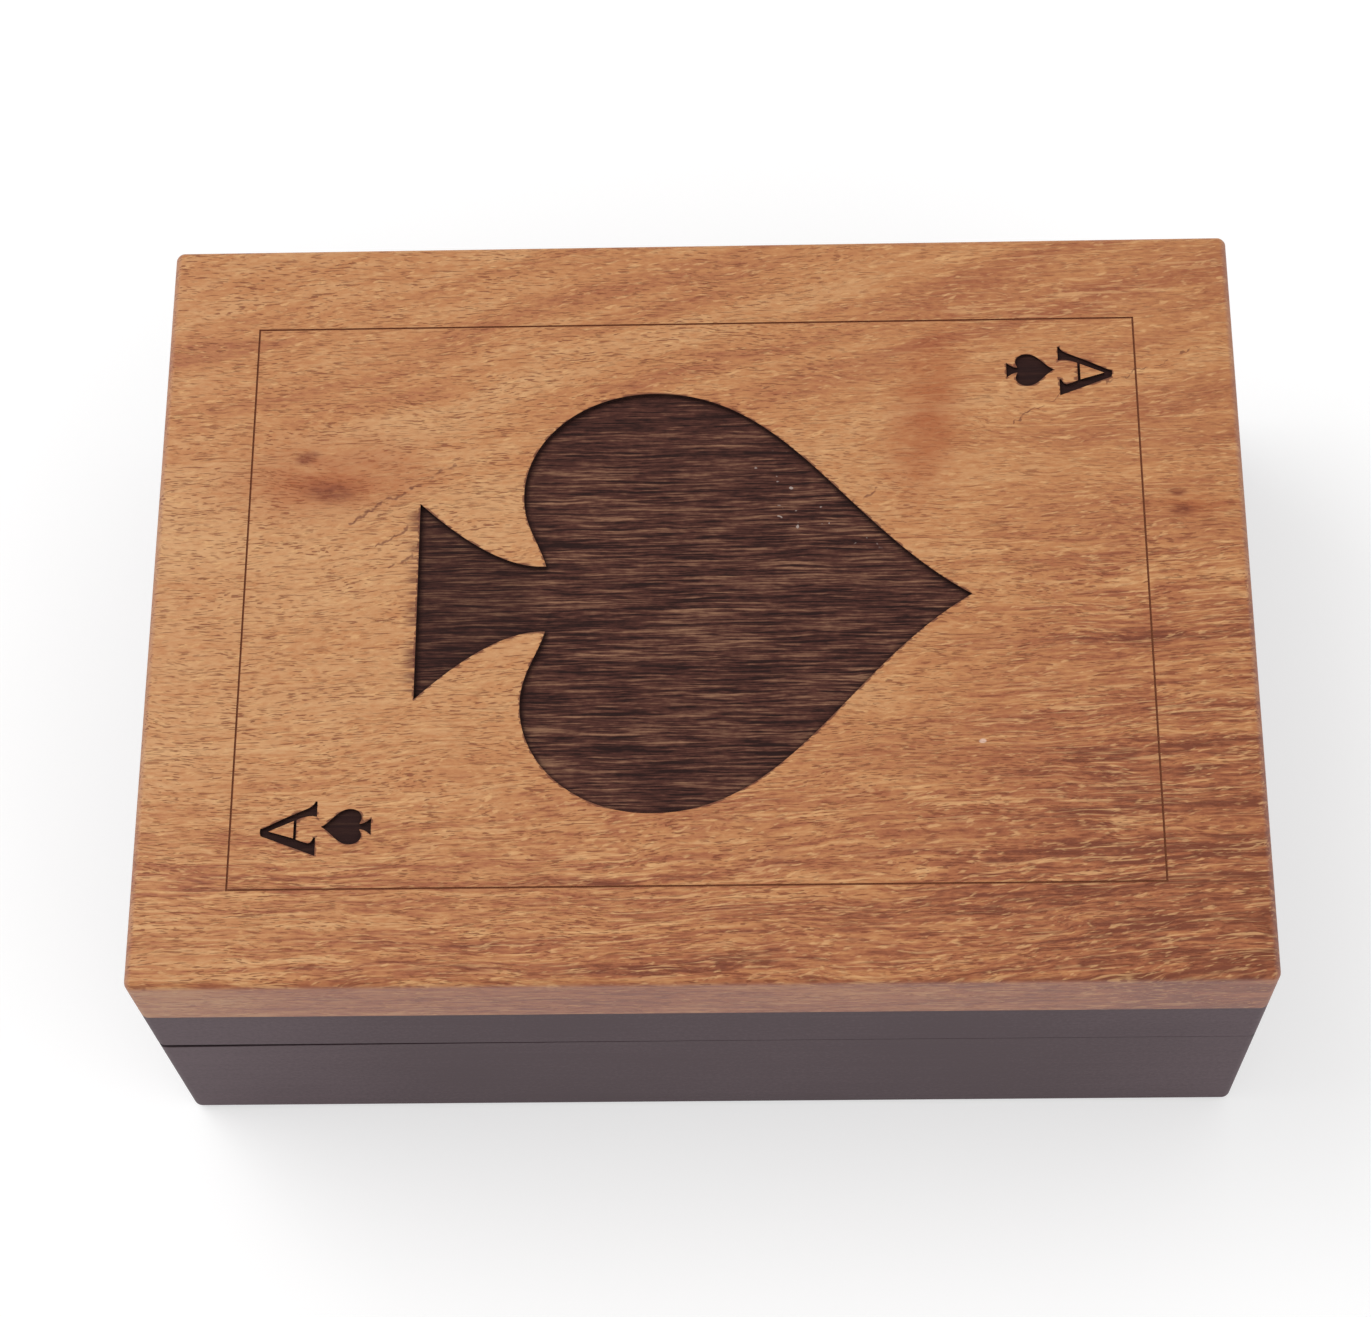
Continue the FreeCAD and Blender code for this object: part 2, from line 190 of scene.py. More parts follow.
class Shader(Tree):
    """A material's node tree, with methods for patterns, colours and relief."""

    # Numbers of the Mix node's colour sockets, because its sockets for other values have the same names.
    COLOUR_INPUTS = (6, 7)
    COLOUR_OUTPUT = 2

    def __init__(self, name: str) -> None:
        """Starts an empty material with a Principled surface.

        Args:
            name: The material's name.
        """
        self.material = bpy.data.materials.new(name)
        self.material.use_nodes = True
        super().__init__(self.material.node_tree)
        self.tree.nodes.clear()
        self.surface = self.node("ShaderNodeBsdfPrincipled")
        self.node("ShaderNodeOutputMaterial", (self.surface.outputs[0],))
        self.coordinates = self.node("ShaderNodeTexCoord").outputs["Object"]

    def vector_math(self, operation: str, *values: object) -> Socket:
        """The result of a Vector Math node: a vector, or the number for a length, distance or dot product."""
        node = self.node("ShaderNodeVectorMath", values, operation=operation)
        return node.outputs["Value" if operation in ("LENGTH", "DISTANCE", "DOT_PRODUCT") else "Vector"]

    def parts(self) -> tuple[Socket, Socket, Socket]:
        """The object's own X, Y and Z."""
        return tuple(self.node("ShaderNodeSeparateXYZ", (self.coordinates,)).outputs)

    def joined(self, x: object, y: object, z: object) -> Socket:
        """Coordinates made from X, Y and Z."""
        return self.node("ShaderNodeCombineXYZ", (x, y, z)).outputs[0]

    def moved(self, x: object, y: object, z: object) -> Socket:
        """The object's own coordinates, shifted."""
        return self.vector_math("ADD", self.coordinates, self.joined(x, y, z))

    def place(self, scale: tuple, shift: tuple, turn: float, source: Socket = None) -> Socket:
        """Moves, turns about Z and scales the pattern coordinates, in that order.

        Args:
            scale: Repeats per metre along each axis.
            shift: Where the pattern's own zero lies, in metres.
            turn: Turn in degrees, anticlockwise seen from above.
            source: Coordinates to start from instead of the object's own.

        Returns:
            The new coordinates.
        """
        vector = source or self.coordinates
        if any(shift):
            vector = self.vector_math("SUBTRACT", vector, shift)
        if turn:
            inputs = {"Vector": vector, "Angle": -math.radians(turn)}
            vector = self.node("ShaderNodeVectorRotate", inputs, rotation_type="Z_AXIS").outputs[0]
        return self.vector_math("MULTIPLY", vector, scale)

    def noise(self, pattern: Pattern, source: Socket = None) -> Socket:
        """Adds a noise pattern.

        Args:
            pattern: Its sizes.
            source: Coordinates to start from instead of the object's own.

        Returns:
            The noise.
        """
        inputs = {
            "Vector": self.place(pattern.scale, (0.0, 0.0, 0.0), pattern.turn, source),
            "Scale": 1.0,
            "Detail": pattern.detail,
            "Roughness": pattern.rough,
            "Distortion": pattern.distortion,
        }
        return self.node("ShaderNodeTexNoise", inputs).outputs["Fac"]

    def centred(self, pattern: Pattern, weight: float, source: Socket = None) -> Socket:
        """A noise pattern times a weight, about zero on average."""
        return self.linear(self.noise(pattern, source), weight, -weight / 2)

    def shown(self, pattern: Pattern, source: Socket = None) -> Socket:
        """A noise pattern as marks: 0 below the values between which it comes up, 1 above them."""
        return self.ramp(self.noise(pattern, source), *pattern.shown)

    def ramp(self, value: Socket, low: object, high: object, start: float = 0.0, end: float = 1.0) -> Socket:
        """Maps a range of values smoothly onto another range and holds it there.

        Args:
            value: The input.
            low: Start of the input range.
            high: End of the input range.
            start: Result at low.
            end: Result at high.

        Returns:
            The mapped value.
        """
        inputs = {"Value": value, "From Min": low, "From Max": high, "To Min": start, "To Max": end}
        return self.node("ShaderNodeMapRange", inputs, interpolation_type="SMOOTHSTEP").outputs["Result"]

    def fade(self, value: Socket, span: Span) -> Socket:
        """Rises from 0 to 1 as a coordinate goes from a span's start to its end, given in millimetres."""
        return self.ramp(value, span[0] * MM, span[1] * MM)

    def mix(self, amount: object, first: object, second: object) -> Socket:
        """A blend of two colours, from the first at an amount of 0 to the second at 1."""
        inputs = {"Factor": amount, self.COLOUR_INPUTS[0]: first, self.COLOUR_INPUTS[1]: second}
        return self.node("ShaderNodeMix", inputs, data_type="RGBA").outputs[self.COLOUR_OUTPUT]

    def tint(self, colour: Socket, other: Colour, where: Socket, amount: float) -> Socket:
        """Lays another colour on, as strongly as a mask says times an amount."""
        return self.mix(self.times(where, amount), colour, other)

    def gradient(self, value: Socket, stops: tuple) -> Socket:
        """Colours a value by a ramp of stops.

        Args:
            value: The input from 0 to 1.
            stops: Pairs of position and linear colour.

        Returns:
            The colour.
        """
        node = self.node("ShaderNodeValToRGB", (value,))
        elements = node.color_ramp.elements
        while len(elements) < len(stops):
            elements.new(0.5)
        for element, (position, colour) in zip(elements, stops):
            element.position = position
            element.color = (*colour, 1.0)
        return node.outputs[0]

    def attribute(self, name: str) -> Socket:
        """Reads a number that the mesh carries on its points."""
        return self.node("ShaderNodeAttribute", attribute_name=name).outputs["Fac"]

    def spot(self, patch: Patch, source: Socket = None) -> Socket:
        """A soft spot on the plan, 1 at its centre and 0 at its edge.

        Args:
            patch: Its ellipse.
            source: Coordinates to start from, already distorted.

        Returns:
            The spot's strength.
        """
        scale = (1 / (patch.radii[0] * MM), 1 / (patch.radii[1] * MM), 0.0)
        local = self.place(scale, (patch.centre[0] * MM, patch.centre[1] * MM, 0.0), patch.turn, source)
        return self.ramp(self.vector_math("LENGTH", local), 1.0, 0.0)

    def bump(self, height: Socket, depth: float, strength: float) -> Socket:
        """A normal from a height field of 0 to 1, where 1 means a depth in metres."""
        inputs = {"Strength": strength, "Distance": depth, "Height": height}
        return self.node("ShaderNodeBump", inputs).outputs[0]

    def finish(self, **inputs: object) -> bpy.types.Material:
        """Fills the surface and returns the material.

        Args:
            inputs: Values of the surface's inputs by name, with _ for a space.

        Returns:
            The material.
        """
        for name, value in inputs.items():
            self.link(value, self.surface.inputs[name.replace("_", " ")])
        return self.material


# -------------------------------------------------------------------- finishes


@dataclass(frozen=True)
class Crack:
    """A fine check in the top plate: both ends on the plan and half its width, in millimetres."""

    start: tuple[float, float]
    end: tuple[float, float]
    half_width: float


@dataclass(frozen=True)
class OiledTopWood:
    """Warm brown hardwood, oiled: pale at the left, browner to the right and front, with pores and knots.

    Spans are in millimetres: a zone starts at the first value of its span, and has its full strength from the
    second on.
    """

    pale: Colour = srgb(210, 160, 112)
    warm: Colour = srgb(191, 130, 83)
    brown: Colour = srgb(163, 97, 63)
    dark: Colour = srgb(119, 62, 40)
    pore: Colour = srgb(126, 64, 38)
    gold_and_highlight: Colour = srgb(226, 176, 122)
    haze: Colour = srgb(160, 79, 40)
    heart: Colour = srgb(124, 62, 38)
    soot: Colour = srgb(104, 54, 38)
    rosy: Colour = srgb(168, 128, 118)
    splinter: Colour = srgb(222, 182, 160)

    # Zones of the tone.
    front: Span = (-6.0, -40.0)
    rear: Span = (8.0, 34.0)
    right: Span = (-58.0, 10.0)
    edge_x: Span = (12.0, 52.0)
    edge_y: Span = (22.0, -8.0)
    corner: Patch = Patch((47.0, 20.0), (26.0, 14.0))

    # Figure and fibre.
    slow_stir: Pattern = Pattern((14.0, 40.0, 40.0))
    quick_stir: Pattern = Pattern((90.0, 330.0, 330.0), rough=0.6)
    drift: Pattern = Pattern((16.0, 34.0, 34.0))
    slanted: Pattern = Pattern((15.0, 170.0, 120.0), 3.0, 0.6, turn=17.0)
    level: Pattern = Pattern((13.0, 520.0, 300.0), 4.0, 0.68, turn=2.0)
    fibre: Pattern = Pattern((160.0, 2100.0, 1700.0), 3.0, 0.62)
    mottle: Pattern = Pattern((900.0, 2600.0, 2600.0), rough=0.6)

    # Light marks, partly painted highlights.
    flecks: Pattern = Pattern((520.0, 2600.0, 2600.0), rough=0.6, turn=9.0, shown=(0.56, 0.7))
    threads: Pattern = Pattern((110.0, 2900.0, 2300.0), rough=0.6, turn=2.5, shown=(0.53, 0.66))
    patchy: Pattern = Pattern((60.0, 160.0, 160.0), shown=(0.35, 0.6))
    thread_y: Span = (0.0, -30.0)
    thread_x: Span = (5.0, 40.0)

    # Pores.
    dashes: Pattern = Pattern((760.0, 6800.0, 5200.0), 1.0, shown=(0.56, 0.68))
    long_dashes: Pattern = Pattern((330.0, 5200.0, 4200.0), 1.0, turn=1.5, shown=(0.62, 0.72))
    gather: Pattern = Pattern((190.0, 520.0, 520.0), shown=(0.3, 0.62))
    smooth_x: Span = (0.0, 30.0)
    smooth_y: Span = (0.0, 20.0)

    # Knots, each with the strength of its heart, and the haze round them.
    knots: tuple[tuple[Patch, float], ...] = (
        (Patch((-43.6, 17.9), (2.3, 1.2), 24.0), 0.95),
        (Patch((-40.9, 13.7), (5.2, 2.6), -4.0), 0.85),
        (Patch((52.6, 11.8), (1.7, 1.2)), 0.95),
        (Patch((53.0, 9.3), (2.2, 1.5)), 1.0),
    )
    left_haze: Patch = Patch((-41.0, 15.2), (17.0, 8.0), 4.0)
    right_haze: Patch = Patch((54.0, 10.0), (7.0, 3.4), -8.0)
    red_band: Patch = Patch((25.4, 21.0), (6.5, 17.0), -10.0)
    cloudy: Pattern = Pattern((800.0, 1900.0, 1900.0), rough=0.6)
    chip: Patch = Patch((30.2, -17.9), (0.6, 0.5), 20.0)

    # Cracks.
    cracks: tuple[Crack, ...] = (
        Crack((-38.5, 9.3), (-27.0, 16.2), 0.12),
        Crack((-35.5, 6.2), (-30.8, 9.6), 0.1),
        Crack((-34.0, 3.6), (-31.4, 5.4), 0.08),
        Crack((15.6, 10.0), (19.6, 12.6), 0.1),
        Crack((35.0, 20.5), (40.5, 24.3), 0.05),
        Crack((40.5, 24.3), (48.8, 26.6), 0.07),
        Crack((48.8, 26.6), (57.0, 30.4), 0.05),
    )
    waver: Pattern = Pattern((400.0, 400.0, 400.0), 3.0, 0.6)
    broken: Pattern = Pattern((900.0, 900.0, 900.0), 1.0, shown=(0.35, 0.55))

    # Soot, and the painted sheen on the edges.
    smoke: Pattern = Pattern((120.0, 2600.0, 900.0), 1.0, shown=(0.42, 0.6))
    smoke_x: Span = (-32.6, -30.9)
    smoke_end: float = -30.0
    foot_middle: float = -0.25
    foot_half: float = 11.5
    passes: Pattern = Pattern((70.0, 2300.0, 900.0), 1.0, shown=(0.38, 0.62))
    soot_reach: tuple[float, float] = (0.85, 0.2)
    soot_blur: float = 0.35
    long_edge_y: Span = (43.6, 44.0)
    long_edge_z: Span = (44.8, 44.2)
    end_x: Span = (59.1, 59.8)

    relief_depth: float = 0.00009
    roughness: float = 0.45
    roughness_swing: float = 0.15

    def stirred(self, shader: Shader) -> Socket:
        """Object coordinates, pushed about a little across the grain, so that no line is straight."""
        push = shader.plus(shader.centred(self.slow_stir, 0.008), shader.centred(self.quick_stir, 0.0016))
        return shader.moved(0.0, push, push)

    def tone(self, shader: Shader, flow: Socket) -> Socket:
        """How brown the wood is, from 0 to 1: a slow drift over the plate, with bands of figure on it.

        Args:
            shader: The material's tree.
            flow: The stirred coordinates.

        Returns:
            The tone.
        """
        x, y, _ = shader.parts()
        front, rear, right = shader.fade(y, self.front), shader.fade(y, self.rear), shader.fade(x, self.right)
        edge = shader.times(shader.fade(x, self.edge_x), shader.fade(y, self.edge_y))
        tone = shader.linear(front, 0.32, 0.14)
        for zone, weight in ((rear, 0.18), (right, 0.14), (edge, 0.38), (shader.spot(self.corner), 0.2)):
            tone = shader.linear(zone, weight, tone)
        lined = shader.plus(shader.highest(front, edge), 0.35)
        for pattern, weight, where in (
            (self.drift, 0.45, 1.0),
            (self.slanted, 1.7, shader.linear(rear, 0.8, 0.2)),
            (self.level, 1.2, lined),
            (self.fibre, 1.1, lined),
            (self.mottle, 0.6, 1.0),
        ):
            tone = shader.plus(tone, shader.times(shader.centred(pattern, weight, flow), where))
        return tone

    def streaks(self, shader: Shader, flow: Socket) -> Socket:
        """Long thin light streaks, partly painted highlights, towards the right and the front, rising a
        little to the right.

        Args:
            shader: The material's tree.
            flow: The stirred coordinates.

        Returns:
            How much a point lies in a streak.
        """
        x, y, _ = shader.parts()
        right = shader.ramp(x, self.thread_x[0] * MM, self.thread_x[1] * MM, 0.0, 0.9)
        zone = shader.highest(shader.fade(y, self.thread_y), right)
        patchy = shader.ramp(shader.noise(self.patchy), *self.patchy.shown, 0.25, 1.0)
        return shader.times(shader.shown(self.threads, flow), zone, patchy)

    def open_pores(self, shader: Shader, flow: Socket, gather: Socket) -> Socket:
        """Short dark dashes along the grain, a few of them longer, thinned out towards the rear right corner.

        Args:
            shader: The material's tree.
            flow: The stirred coordinates.
            gather: Noise that is high where the short ones lie close together.

        Returns:
            How much a point lies in a pore.
        """
        x, y, _ = shader.parts()
        short = shader.times(shader.shown(self.dashes, flow), shader.ramp(gather, *self.gather.shown))
        longer = shader.times(shader.shown(self.long_dashes, flow), shader.ramp(gather, 0.62, 0.35))
        smooth = shader.times(shader.fade(x, self.smooth_x), shader.fade(y, self.smooth_y))
        return shader.times(shader.highest(short, longer), shader.ramp(smooth, 0.0, 1.0, 1.0, 0.6))

    def knotted(self, shader: Shader, flow: Socket, gather: Socket, colour: Socket) -> Socket:
        """Adds the knots, each a dark heart in a reddish haze, a red band, and a pale chip.

        Args:
            shader: The material's tree.
            flow: The stirred coordinates.
            gather: Noise that makes the haze uneven.
            colour: The colour so far.

        Returns:
            The colour with the knots.
        """
        haze = shader.spot(self.left_haze, flow)
        for patch, weight in ((self.right_haze, 0.6), (self.red_band, 0.95)):
            haze = shader.highest(haze, shader.times(shader.spot(patch, flow), weight))
        haze = shader.times(haze, shader.ramp(gather, 0.2, 0.6, 0.45, 1.0))
        colour = shader.tint(colour, self.haze, haze, 0.75)
        cloudy = shader.noise(self.cloudy, flow)
        for patch, strength in self.knots:
            heart = shader.ramp(shader.spot(patch, flow), 0.0, 0.9)
            heart = shader.times(heart, shader.ramp(cloudy, 0.65, 0.35, 0.5 * strength, strength))
            colour = shader.mix(heart, colour, self.heart)
        return shader.mix(shader.ramp(shader.spot(self.chip, flow), 0.1, 0.5), colour, self.splinter)

    def cracked(self, shader: Shader, crack: Crack) -> Socket:
        """How much a point lies in a crack, from 1 on its wavering line to 0 beside it.

        With d from the start to the point and e from start to end, the nearest point lies at t = d.e / e.e.

        Args:
            shader: The material's tree.
            crack: The crack.

        Returns:
            The strength, thinned out by noise along the crack.
        """
        stirred = shader.moved(0.0, shader.centred(self.waver, 0.0032), 0.0)
        start = (crack.start[0] * MM, crack.start[1] * MM, 0.0)
        run = ((crack.end[0] - crack.start[0]) * MM, (crack.end[1] - crack.start[1]) * MM, 0.0)
        local = shader.vector_math("SUBTRACT", stirred, start)
        local = shader.vector_math("MULTIPLY", local, (1.0, 1.0, 0.0))
        along = shader.vector_math("DOT_PRODUCT", local, run)
        share = shader.math("DIVIDE", along, run[0] ** 2 + run[1] ** 2, clamp=True)
        near = shader.vector_math("MULTIPLY", shader.joined(share, share, share), run)
        gap = shader.vector_math("DISTANCE", local, near)
        shape = shader.ramp(gap, crack.half_width * 2.2 * MM, crack.half_width * 0.5 * MM)
        return shader.times(shape, shader.shown(self.broken))

    def sooted(self, shader: Shader, colour: Socket) -> Socket:
        """Adds soot: thin streaks outside the foot of the large spade, and a ragged rim at every cut.

        Args:
            shader: The material's tree.
            colour: The colour so far.

        Returns:
            The colour with the soot.
        """
        x, y, _ = shader.parts()
        beside = shader.times(shader.fade(x, self.smoke_x), shader.math("LESS_THAN", x, self.smoke_end * MM))
        foot = shader.within(y, self.foot_middle * MM, self.foot_half * MM)
        colour = shader.tint(colour, self.soot, shader.times(beside, foot, shader.shown(self.smoke)), 0.75)
        reach = shader.ramp(shader.noise(self.passes), *self.passes.shown, *self.soot_reach)
        rim = shader.ramp(shader.attribute("soot"), reach, shader.plus(reach, self.soot_blur))
        return shader.tint(colour, self.soot, rim, 0.8)

    def edge_sheen(self, shader: Shader) -> Socket:
        """Tells the plate's long edges and ends, which get a painted rosy sheen, from its top face.

        Args:
            shader: The material's tree.

        Returns:
            1 on the long edges and ends, where the sheen is painted, and 0 on the top face.
        """
        x, y, z = shader.parts()
        long_edge = shader.fade(shader.math("ABSOLUTE", y), self.long_edge_y)
        long_edge = shader.times(long_edge, shader.fade(z, self.long_edge_z))
        return shader.highest(long_edge, shader.fade(shader.math("ABSOLUTE", x), self.end_x))

    def build(self) -> bpy.types.Material:
        """Builds the material.

        Returns:
            The material for the whole plate outside the engraving.
        """
        shader = Shader("oiled_top_wood")
        flow = self.stirred(shader)
        stops = ((0.0, self.pale), (0.36, self.warm), (0.7, self.brown), (1.0, self.dark))
        colour = shader.gradient(self.tone(shader, flow), stops)

        # Short light flecks, where the fibres rise to the surface at a slant: raised in the relief, and
        # tinted gold, partly as painted highlights.
        flecks = shader.noise(self.flecks, flow)
        raised = shader.ramp(flecks, *self.flecks.shown)
        colour = shader.tint(colour, self.gold_and_highlight, raised, 0.55)
        # Long light threads of grain, tinted gold, partly as painted highlights.
        colour = shader.tint(colour, self.gold_and_highlight, self.streaks(shader, flow), 0.6)

        gather = shader.noise(self.gather, flow)
        pores = self.open_pores(shader, flow, gather)
        colour = shader.tint(colour, self.pore, pores, 0.78)
        colour = self.knotted(shader, flow, gather, colour)
        for crack in self.cracks:
            colour = shader.tint(colour, self.soot, self.cracked(shader, crack), 0.7)
        colour = self.sooted(shader, colour)
        # Painted sheen: a pale rosy tint on the long edges and ends of the plate.
        colour = shader.tint(colour, self.rosy, self.edge_sheen(shader), 0.45)
        relief = shader.math("SUBTRACT", shader.times(raised, 0.4), pores)
        return shader.finish(
            Base_Color=colour,
            Roughness=shader.linear(flecks, self.roughness_swing, self.roughness),
            Normal=shader.bump(relief, self.relief_depth, 0.7),
            Specular_IOR_Level=0.25,
        )


@dataclass(frozen=True)
class BurntWood:
    """The floor of the engraving: wood charred dark brown, with paler ridges of hard grain."""

    char: Colour = srgb(38, 19, 17)
    dust: Colour = srgb(168, 150, 142)
    body: Colour = srgb(84, 49, 41)
    ridge: Colour = srgb(152, 112, 86)
    scorch: Colour = srgb(146, 88, 60)
    stir: Pattern = Pattern((130.0, 500.0, 500.0))
    broad_lines: Pattern = Pattern((95.0, 2300.0, 300.0), 3.0, 0.7)
    thin_lines: Pattern = Pattern((210.0, 5600.0, 300.0), 2.0, 0.6)
    bands: Pattern = Pattern((45.0, 420.0, 100.0))
    speck: Pattern = Pattern((900.0, 2600.0, 900.0), rough=0.6)
    grit: Pattern = Pattern((1700.0, 1700.0, 1700.0), 0.0, shown=(0.8, 0.85))
    dusty: Patch = Patch((13.0, 11.5), (13.0, 7.0), -30.0)
    rear: Span = (23.0, 9.0)
    foot: Span = (-15.0, -21.0)
    relief_depth: float = 0.00015

    def build(self) -> bpy.types.Material:
        """Builds the material.

        Returns:
            The material of all engraved floors and walls.
        """
        shader = Shader("burnt_wood")
        x, y, _ = shader.parts()
        flow = shader.moved(0.0, shader.centred(self.stir, 0.0006), 0.0)
        streak = shader.times(shader.noise(self.broad_lines, flow), 0.5)
        streak = shader.plus(streak, shader.times(shader.noise(self.thin_lines, flow), 0.5))
        lit = shader.ramp(y, self.rear[0] * MM, self.rear[1] * MM, 0.75, 1.0)
        tone = shader.times(shader.linear(streak, 2.9, -1.2), lit)
        for pattern in (self.bands, self.speck):
            tone = shader.plus(tone, shader.centred(pattern, 0.5, flow))
        colour = shader.gradient(tone, ((0.0, self.char), (0.32, self.body), (0.8, self.ridge)))
        colour = shader.tint(colour, self.char, shader.fade(x, self.foot), 0.35)

        # Pale dust that has settled in one place, then how heavily each part is burnt.
        settled = shader.ramp(shader.spot(self.dusty), 0.1, 0.5)
        colour = shader.tint(colour, self.dust, shader.shown(self.grit), settled)
        burn = shader.attribute("burn")
        colour = shader.tint(colour, self.char, shader.highest(burn, 0.0), 0.85)
        colour = shader.tint(colour, self.scorch, shader.highest(shader.times(burn, -1.0), 0.0), 0.9)
        normal = shader.bump(streak, self.relief_depth, 0.8)
        return shader.finish(Base_Color=colour, Roughness=0.8, Normal=normal, Specular_IOR_Level=0.15)


@dataclass(frozen=True)
class DarkPaint:
    """Satin dark grey-brown paint over wood: a little cloudy, finely speckled, with a painted reflection at
    the ends.

    The painted shade in the joint above the drawer front is given in millimetres: the height of its middle,
    its half height and half length, and the spans over which it starts at the front and ends at the back.
    """

    paint: Colour = srgb(73, 56, 61)
    cloud: Colour = srgb(102, 84, 90)
    painted_gap_shade: Colour = srgb(34, 27, 29)
    clouds: Pattern = Pattern((55.0, 70.0, 70.0), 3.0)
    speck: Pattern = Pattern((1900.0, 1900.0, 1900.0), 2.0, 0.7)
    streak: Pattern = Pattern((30.0, 700.0, 700.0))
    grain: Pattern = Pattern((60.0, 900.0, 900.0))
    # Painted reflection: its middle, and the distances from it over which the paint goes from darker to
    # paler, in millimetres.
    reflection_middle: float = 4.0
    ends: Span = (30.0, 66.0)
    joint_middle: float = 24.5
    joint_half_height: float = 0.55
    joint_half_length: float = 59.8
    joint_front: Span = (-44.24, -44.1)
    joint_back: Span = (-36.4, -36.6)
    relief_depth: float = 0.00003

    def build(self) -> bpy.types.Material:
        """Builds the material.

        Returns:
            The material of the painted boards.
        """
        shader = Shader("dark_paint")
        x, y, z = shader.parts()
        # Painted reflection: darker in the middle of the box, paler towards both ends.
        from_middle = shader.math("ABSOLUTE", shader.plus(x, -self.reflection_middle * MM))
        ends = shader.ramp(from_middle, self.ends[0] * MM, self.ends[1] * MM, -0.16, 0.28)
        tone = shader.linear(shader.noise(self.clouds), 0.5, -0.05)
        speck = shader.noise(self.speck)
        for part, weight in ((speck, 1.0), (shader.noise(self.streak), 0.3)):
            tone = shader.plus(tone, shader.linear(part, weight, -weight / 2))
        colour = shader.mix(shader.math("ADD", tone, ends, clamp=True), self.paint, self.cloud)

        # Painted shade: a near-black band in the gap between the front of the drawer and the board above it.
        joint = shader.times(
            shader.within(z, self.joint_middle * MM, self.joint_half_height * MM),
            shader.within(x, 0.0, self.joint_half_length * MM),
            shader.fade(y, self.joint_front),
            shader.fade(y, self.joint_back),
        )
        colour = shader.tint(colour, self.painted_gap_shade, joint, 0.8)
        relief = shader.plus(shader.times(shader.noise(self.grain), 0.7), speck)
        normal = shader.bump(relief, self.relief_depth, 0.5)
        return shader.finish(Base_Color=colour, Roughness=0.6, Normal=normal, Specular_IOR_Level=0.22)


@dataclass(frozen=True)
class BareWood:
    """Sanded bare wood of the drawer, with fine grain along one axis."""

    name: str
    grain: Grain
    light: Colour = srgb(206, 164, 118)
    dark: Colour = srgb(172, 124, 82)
    pore: Colour = srgb(128, 84, 54)
    along: float = 12.0
    across: float = 300.0
    fineness: float = 8.0
    pore_range: Span = (0.66, 0.76)
    relief_depth: float = 0.00005

    def build(self) -> bpy.types.Material:
        """Builds the material.

        Returns:
            The material.
        """
        shader = Shader(self.name)
        scale = [self.across] * 3
        scale[self.grain.value] = self.along
        bands = shader.noise(Pattern(tuple(scale), 4.0, 0.6, distortion=0.4))
        fine = shader.noise(Pattern(tuple(self.fineness * part for part in scale)))
        tone = shader.plus(shader.times(bands, 0.75), shader.times(fine, 0.3))
        colour = shader.gradient(tone, ((0.3, self.light), (0.75, self.dark)))
        pores = shader.ramp(fine, *self.pore_range)
        colour = shader.tint(colour, self.pore, pores, 0.5)
        normal = shader.bump(shader.math("SUBTRACT", fine, pores), self.relief_depth, 0.5)
        return shader.finish(Base_Color=colour, Roughness=0.62, Normal=normal)


@dataclass(frozen=True)
class Plywood:
    """Thin three-ply board: faces grained along X, and edges that show the plies one above another."""

    name: str
    bottom: float
    thickness: float
    face: Colour = srgb(206, 172, 132)
    figure: Colour = srgb(178, 138, 98)
    core: Colour = srgb(140, 100, 68)
    pore: Colour = srgb(132, 92, 62)
    bands: Pattern = Pattern((7.0, 90.0, 90.0), 4.0, 0.6, distortion=0.6)
    lines: Pattern = Pattern((9.0, 620.0, 620.0), 4.0, 0.7)
    fine: Pattern = Pattern((120.0, 2400.0, 2400.0), shown=(0.64, 0.72))
    half_core: float = 0.18
    relief_depth: float = 0.00005

    def build(self) -> bpy.types.Material:
        """Builds the material.

        Returns:
            The material, with its plies at the panel's own height.
        """
        shader = Shader(self.name)
        fine = shader.noise(self.fine)
        tone = shader.times(shader.noise(self.bands), 0.5)
        for part, weight in ((shader.noise(self.lines), 0.45), (fine, 0.25)):
            tone = shader.linear(part, weight, tone)
        colour = shader.gradient(tone, ((0.42, self.face), (0.75, self.figure)))
        colour = shader.tint(colour, self.pore, shader.ramp(fine, *self.fine.shown), 0.6)
        ply = shader.math("DIVIDE", shader.math("SUBTRACT", shader.parts()[2], self.bottom), self.thickness)
        colour = shader.tint(colour, self.core, shader.within(ply, 0.5, self.half_core), 0.7)
        normal = shader.bump(fine, self.relief_depth, 0.5)
        return shader.finish(Base_Color=colour, Roughness=0.66, Normal=normal)


@dataclass(frozen=True)
class Felt:
    """Short-napped maroon felt."""

    deep: Colour = srgb(84, 16, 24)
    lit: Colour = srgb(122, 30, 38)
    clumps: Pattern = Pattern((420.0, 420.0, 420.0), 4.0, 0.65)
    fibres: Pattern = Pattern((2600.0, 2600.0, 2600.0), 3.0, 0.7, distortion=1.5)
    relief_depth: float = 0.0002

    def build(self) -> bpy.types.Material:
        """Builds the material.

        Returns:
            The material of the lining.
        """
        shader = Shader("maroon_felt")
        clumps, fibres = shader.noise(self.clumps), shader.noise(self.fibres)
        tone = shader.plus(shader.times(clumps, 0.35), shader.times(fibres, 0.7))
        return shader.finish(
            Base_Color=shader.gradient(tone, ((0.35, self.deep), (0.72, self.lit))),
            Roughness=0.95,
            Normal=shader.bump(shader.plus(shader.times(clumps, 0.4), fibres), self.relief_depth, 0.8),
            Specular_IOR_Level=0.1,
            Sheen_Weight=0.12,
            Sheen_Roughness=0.5,
        )


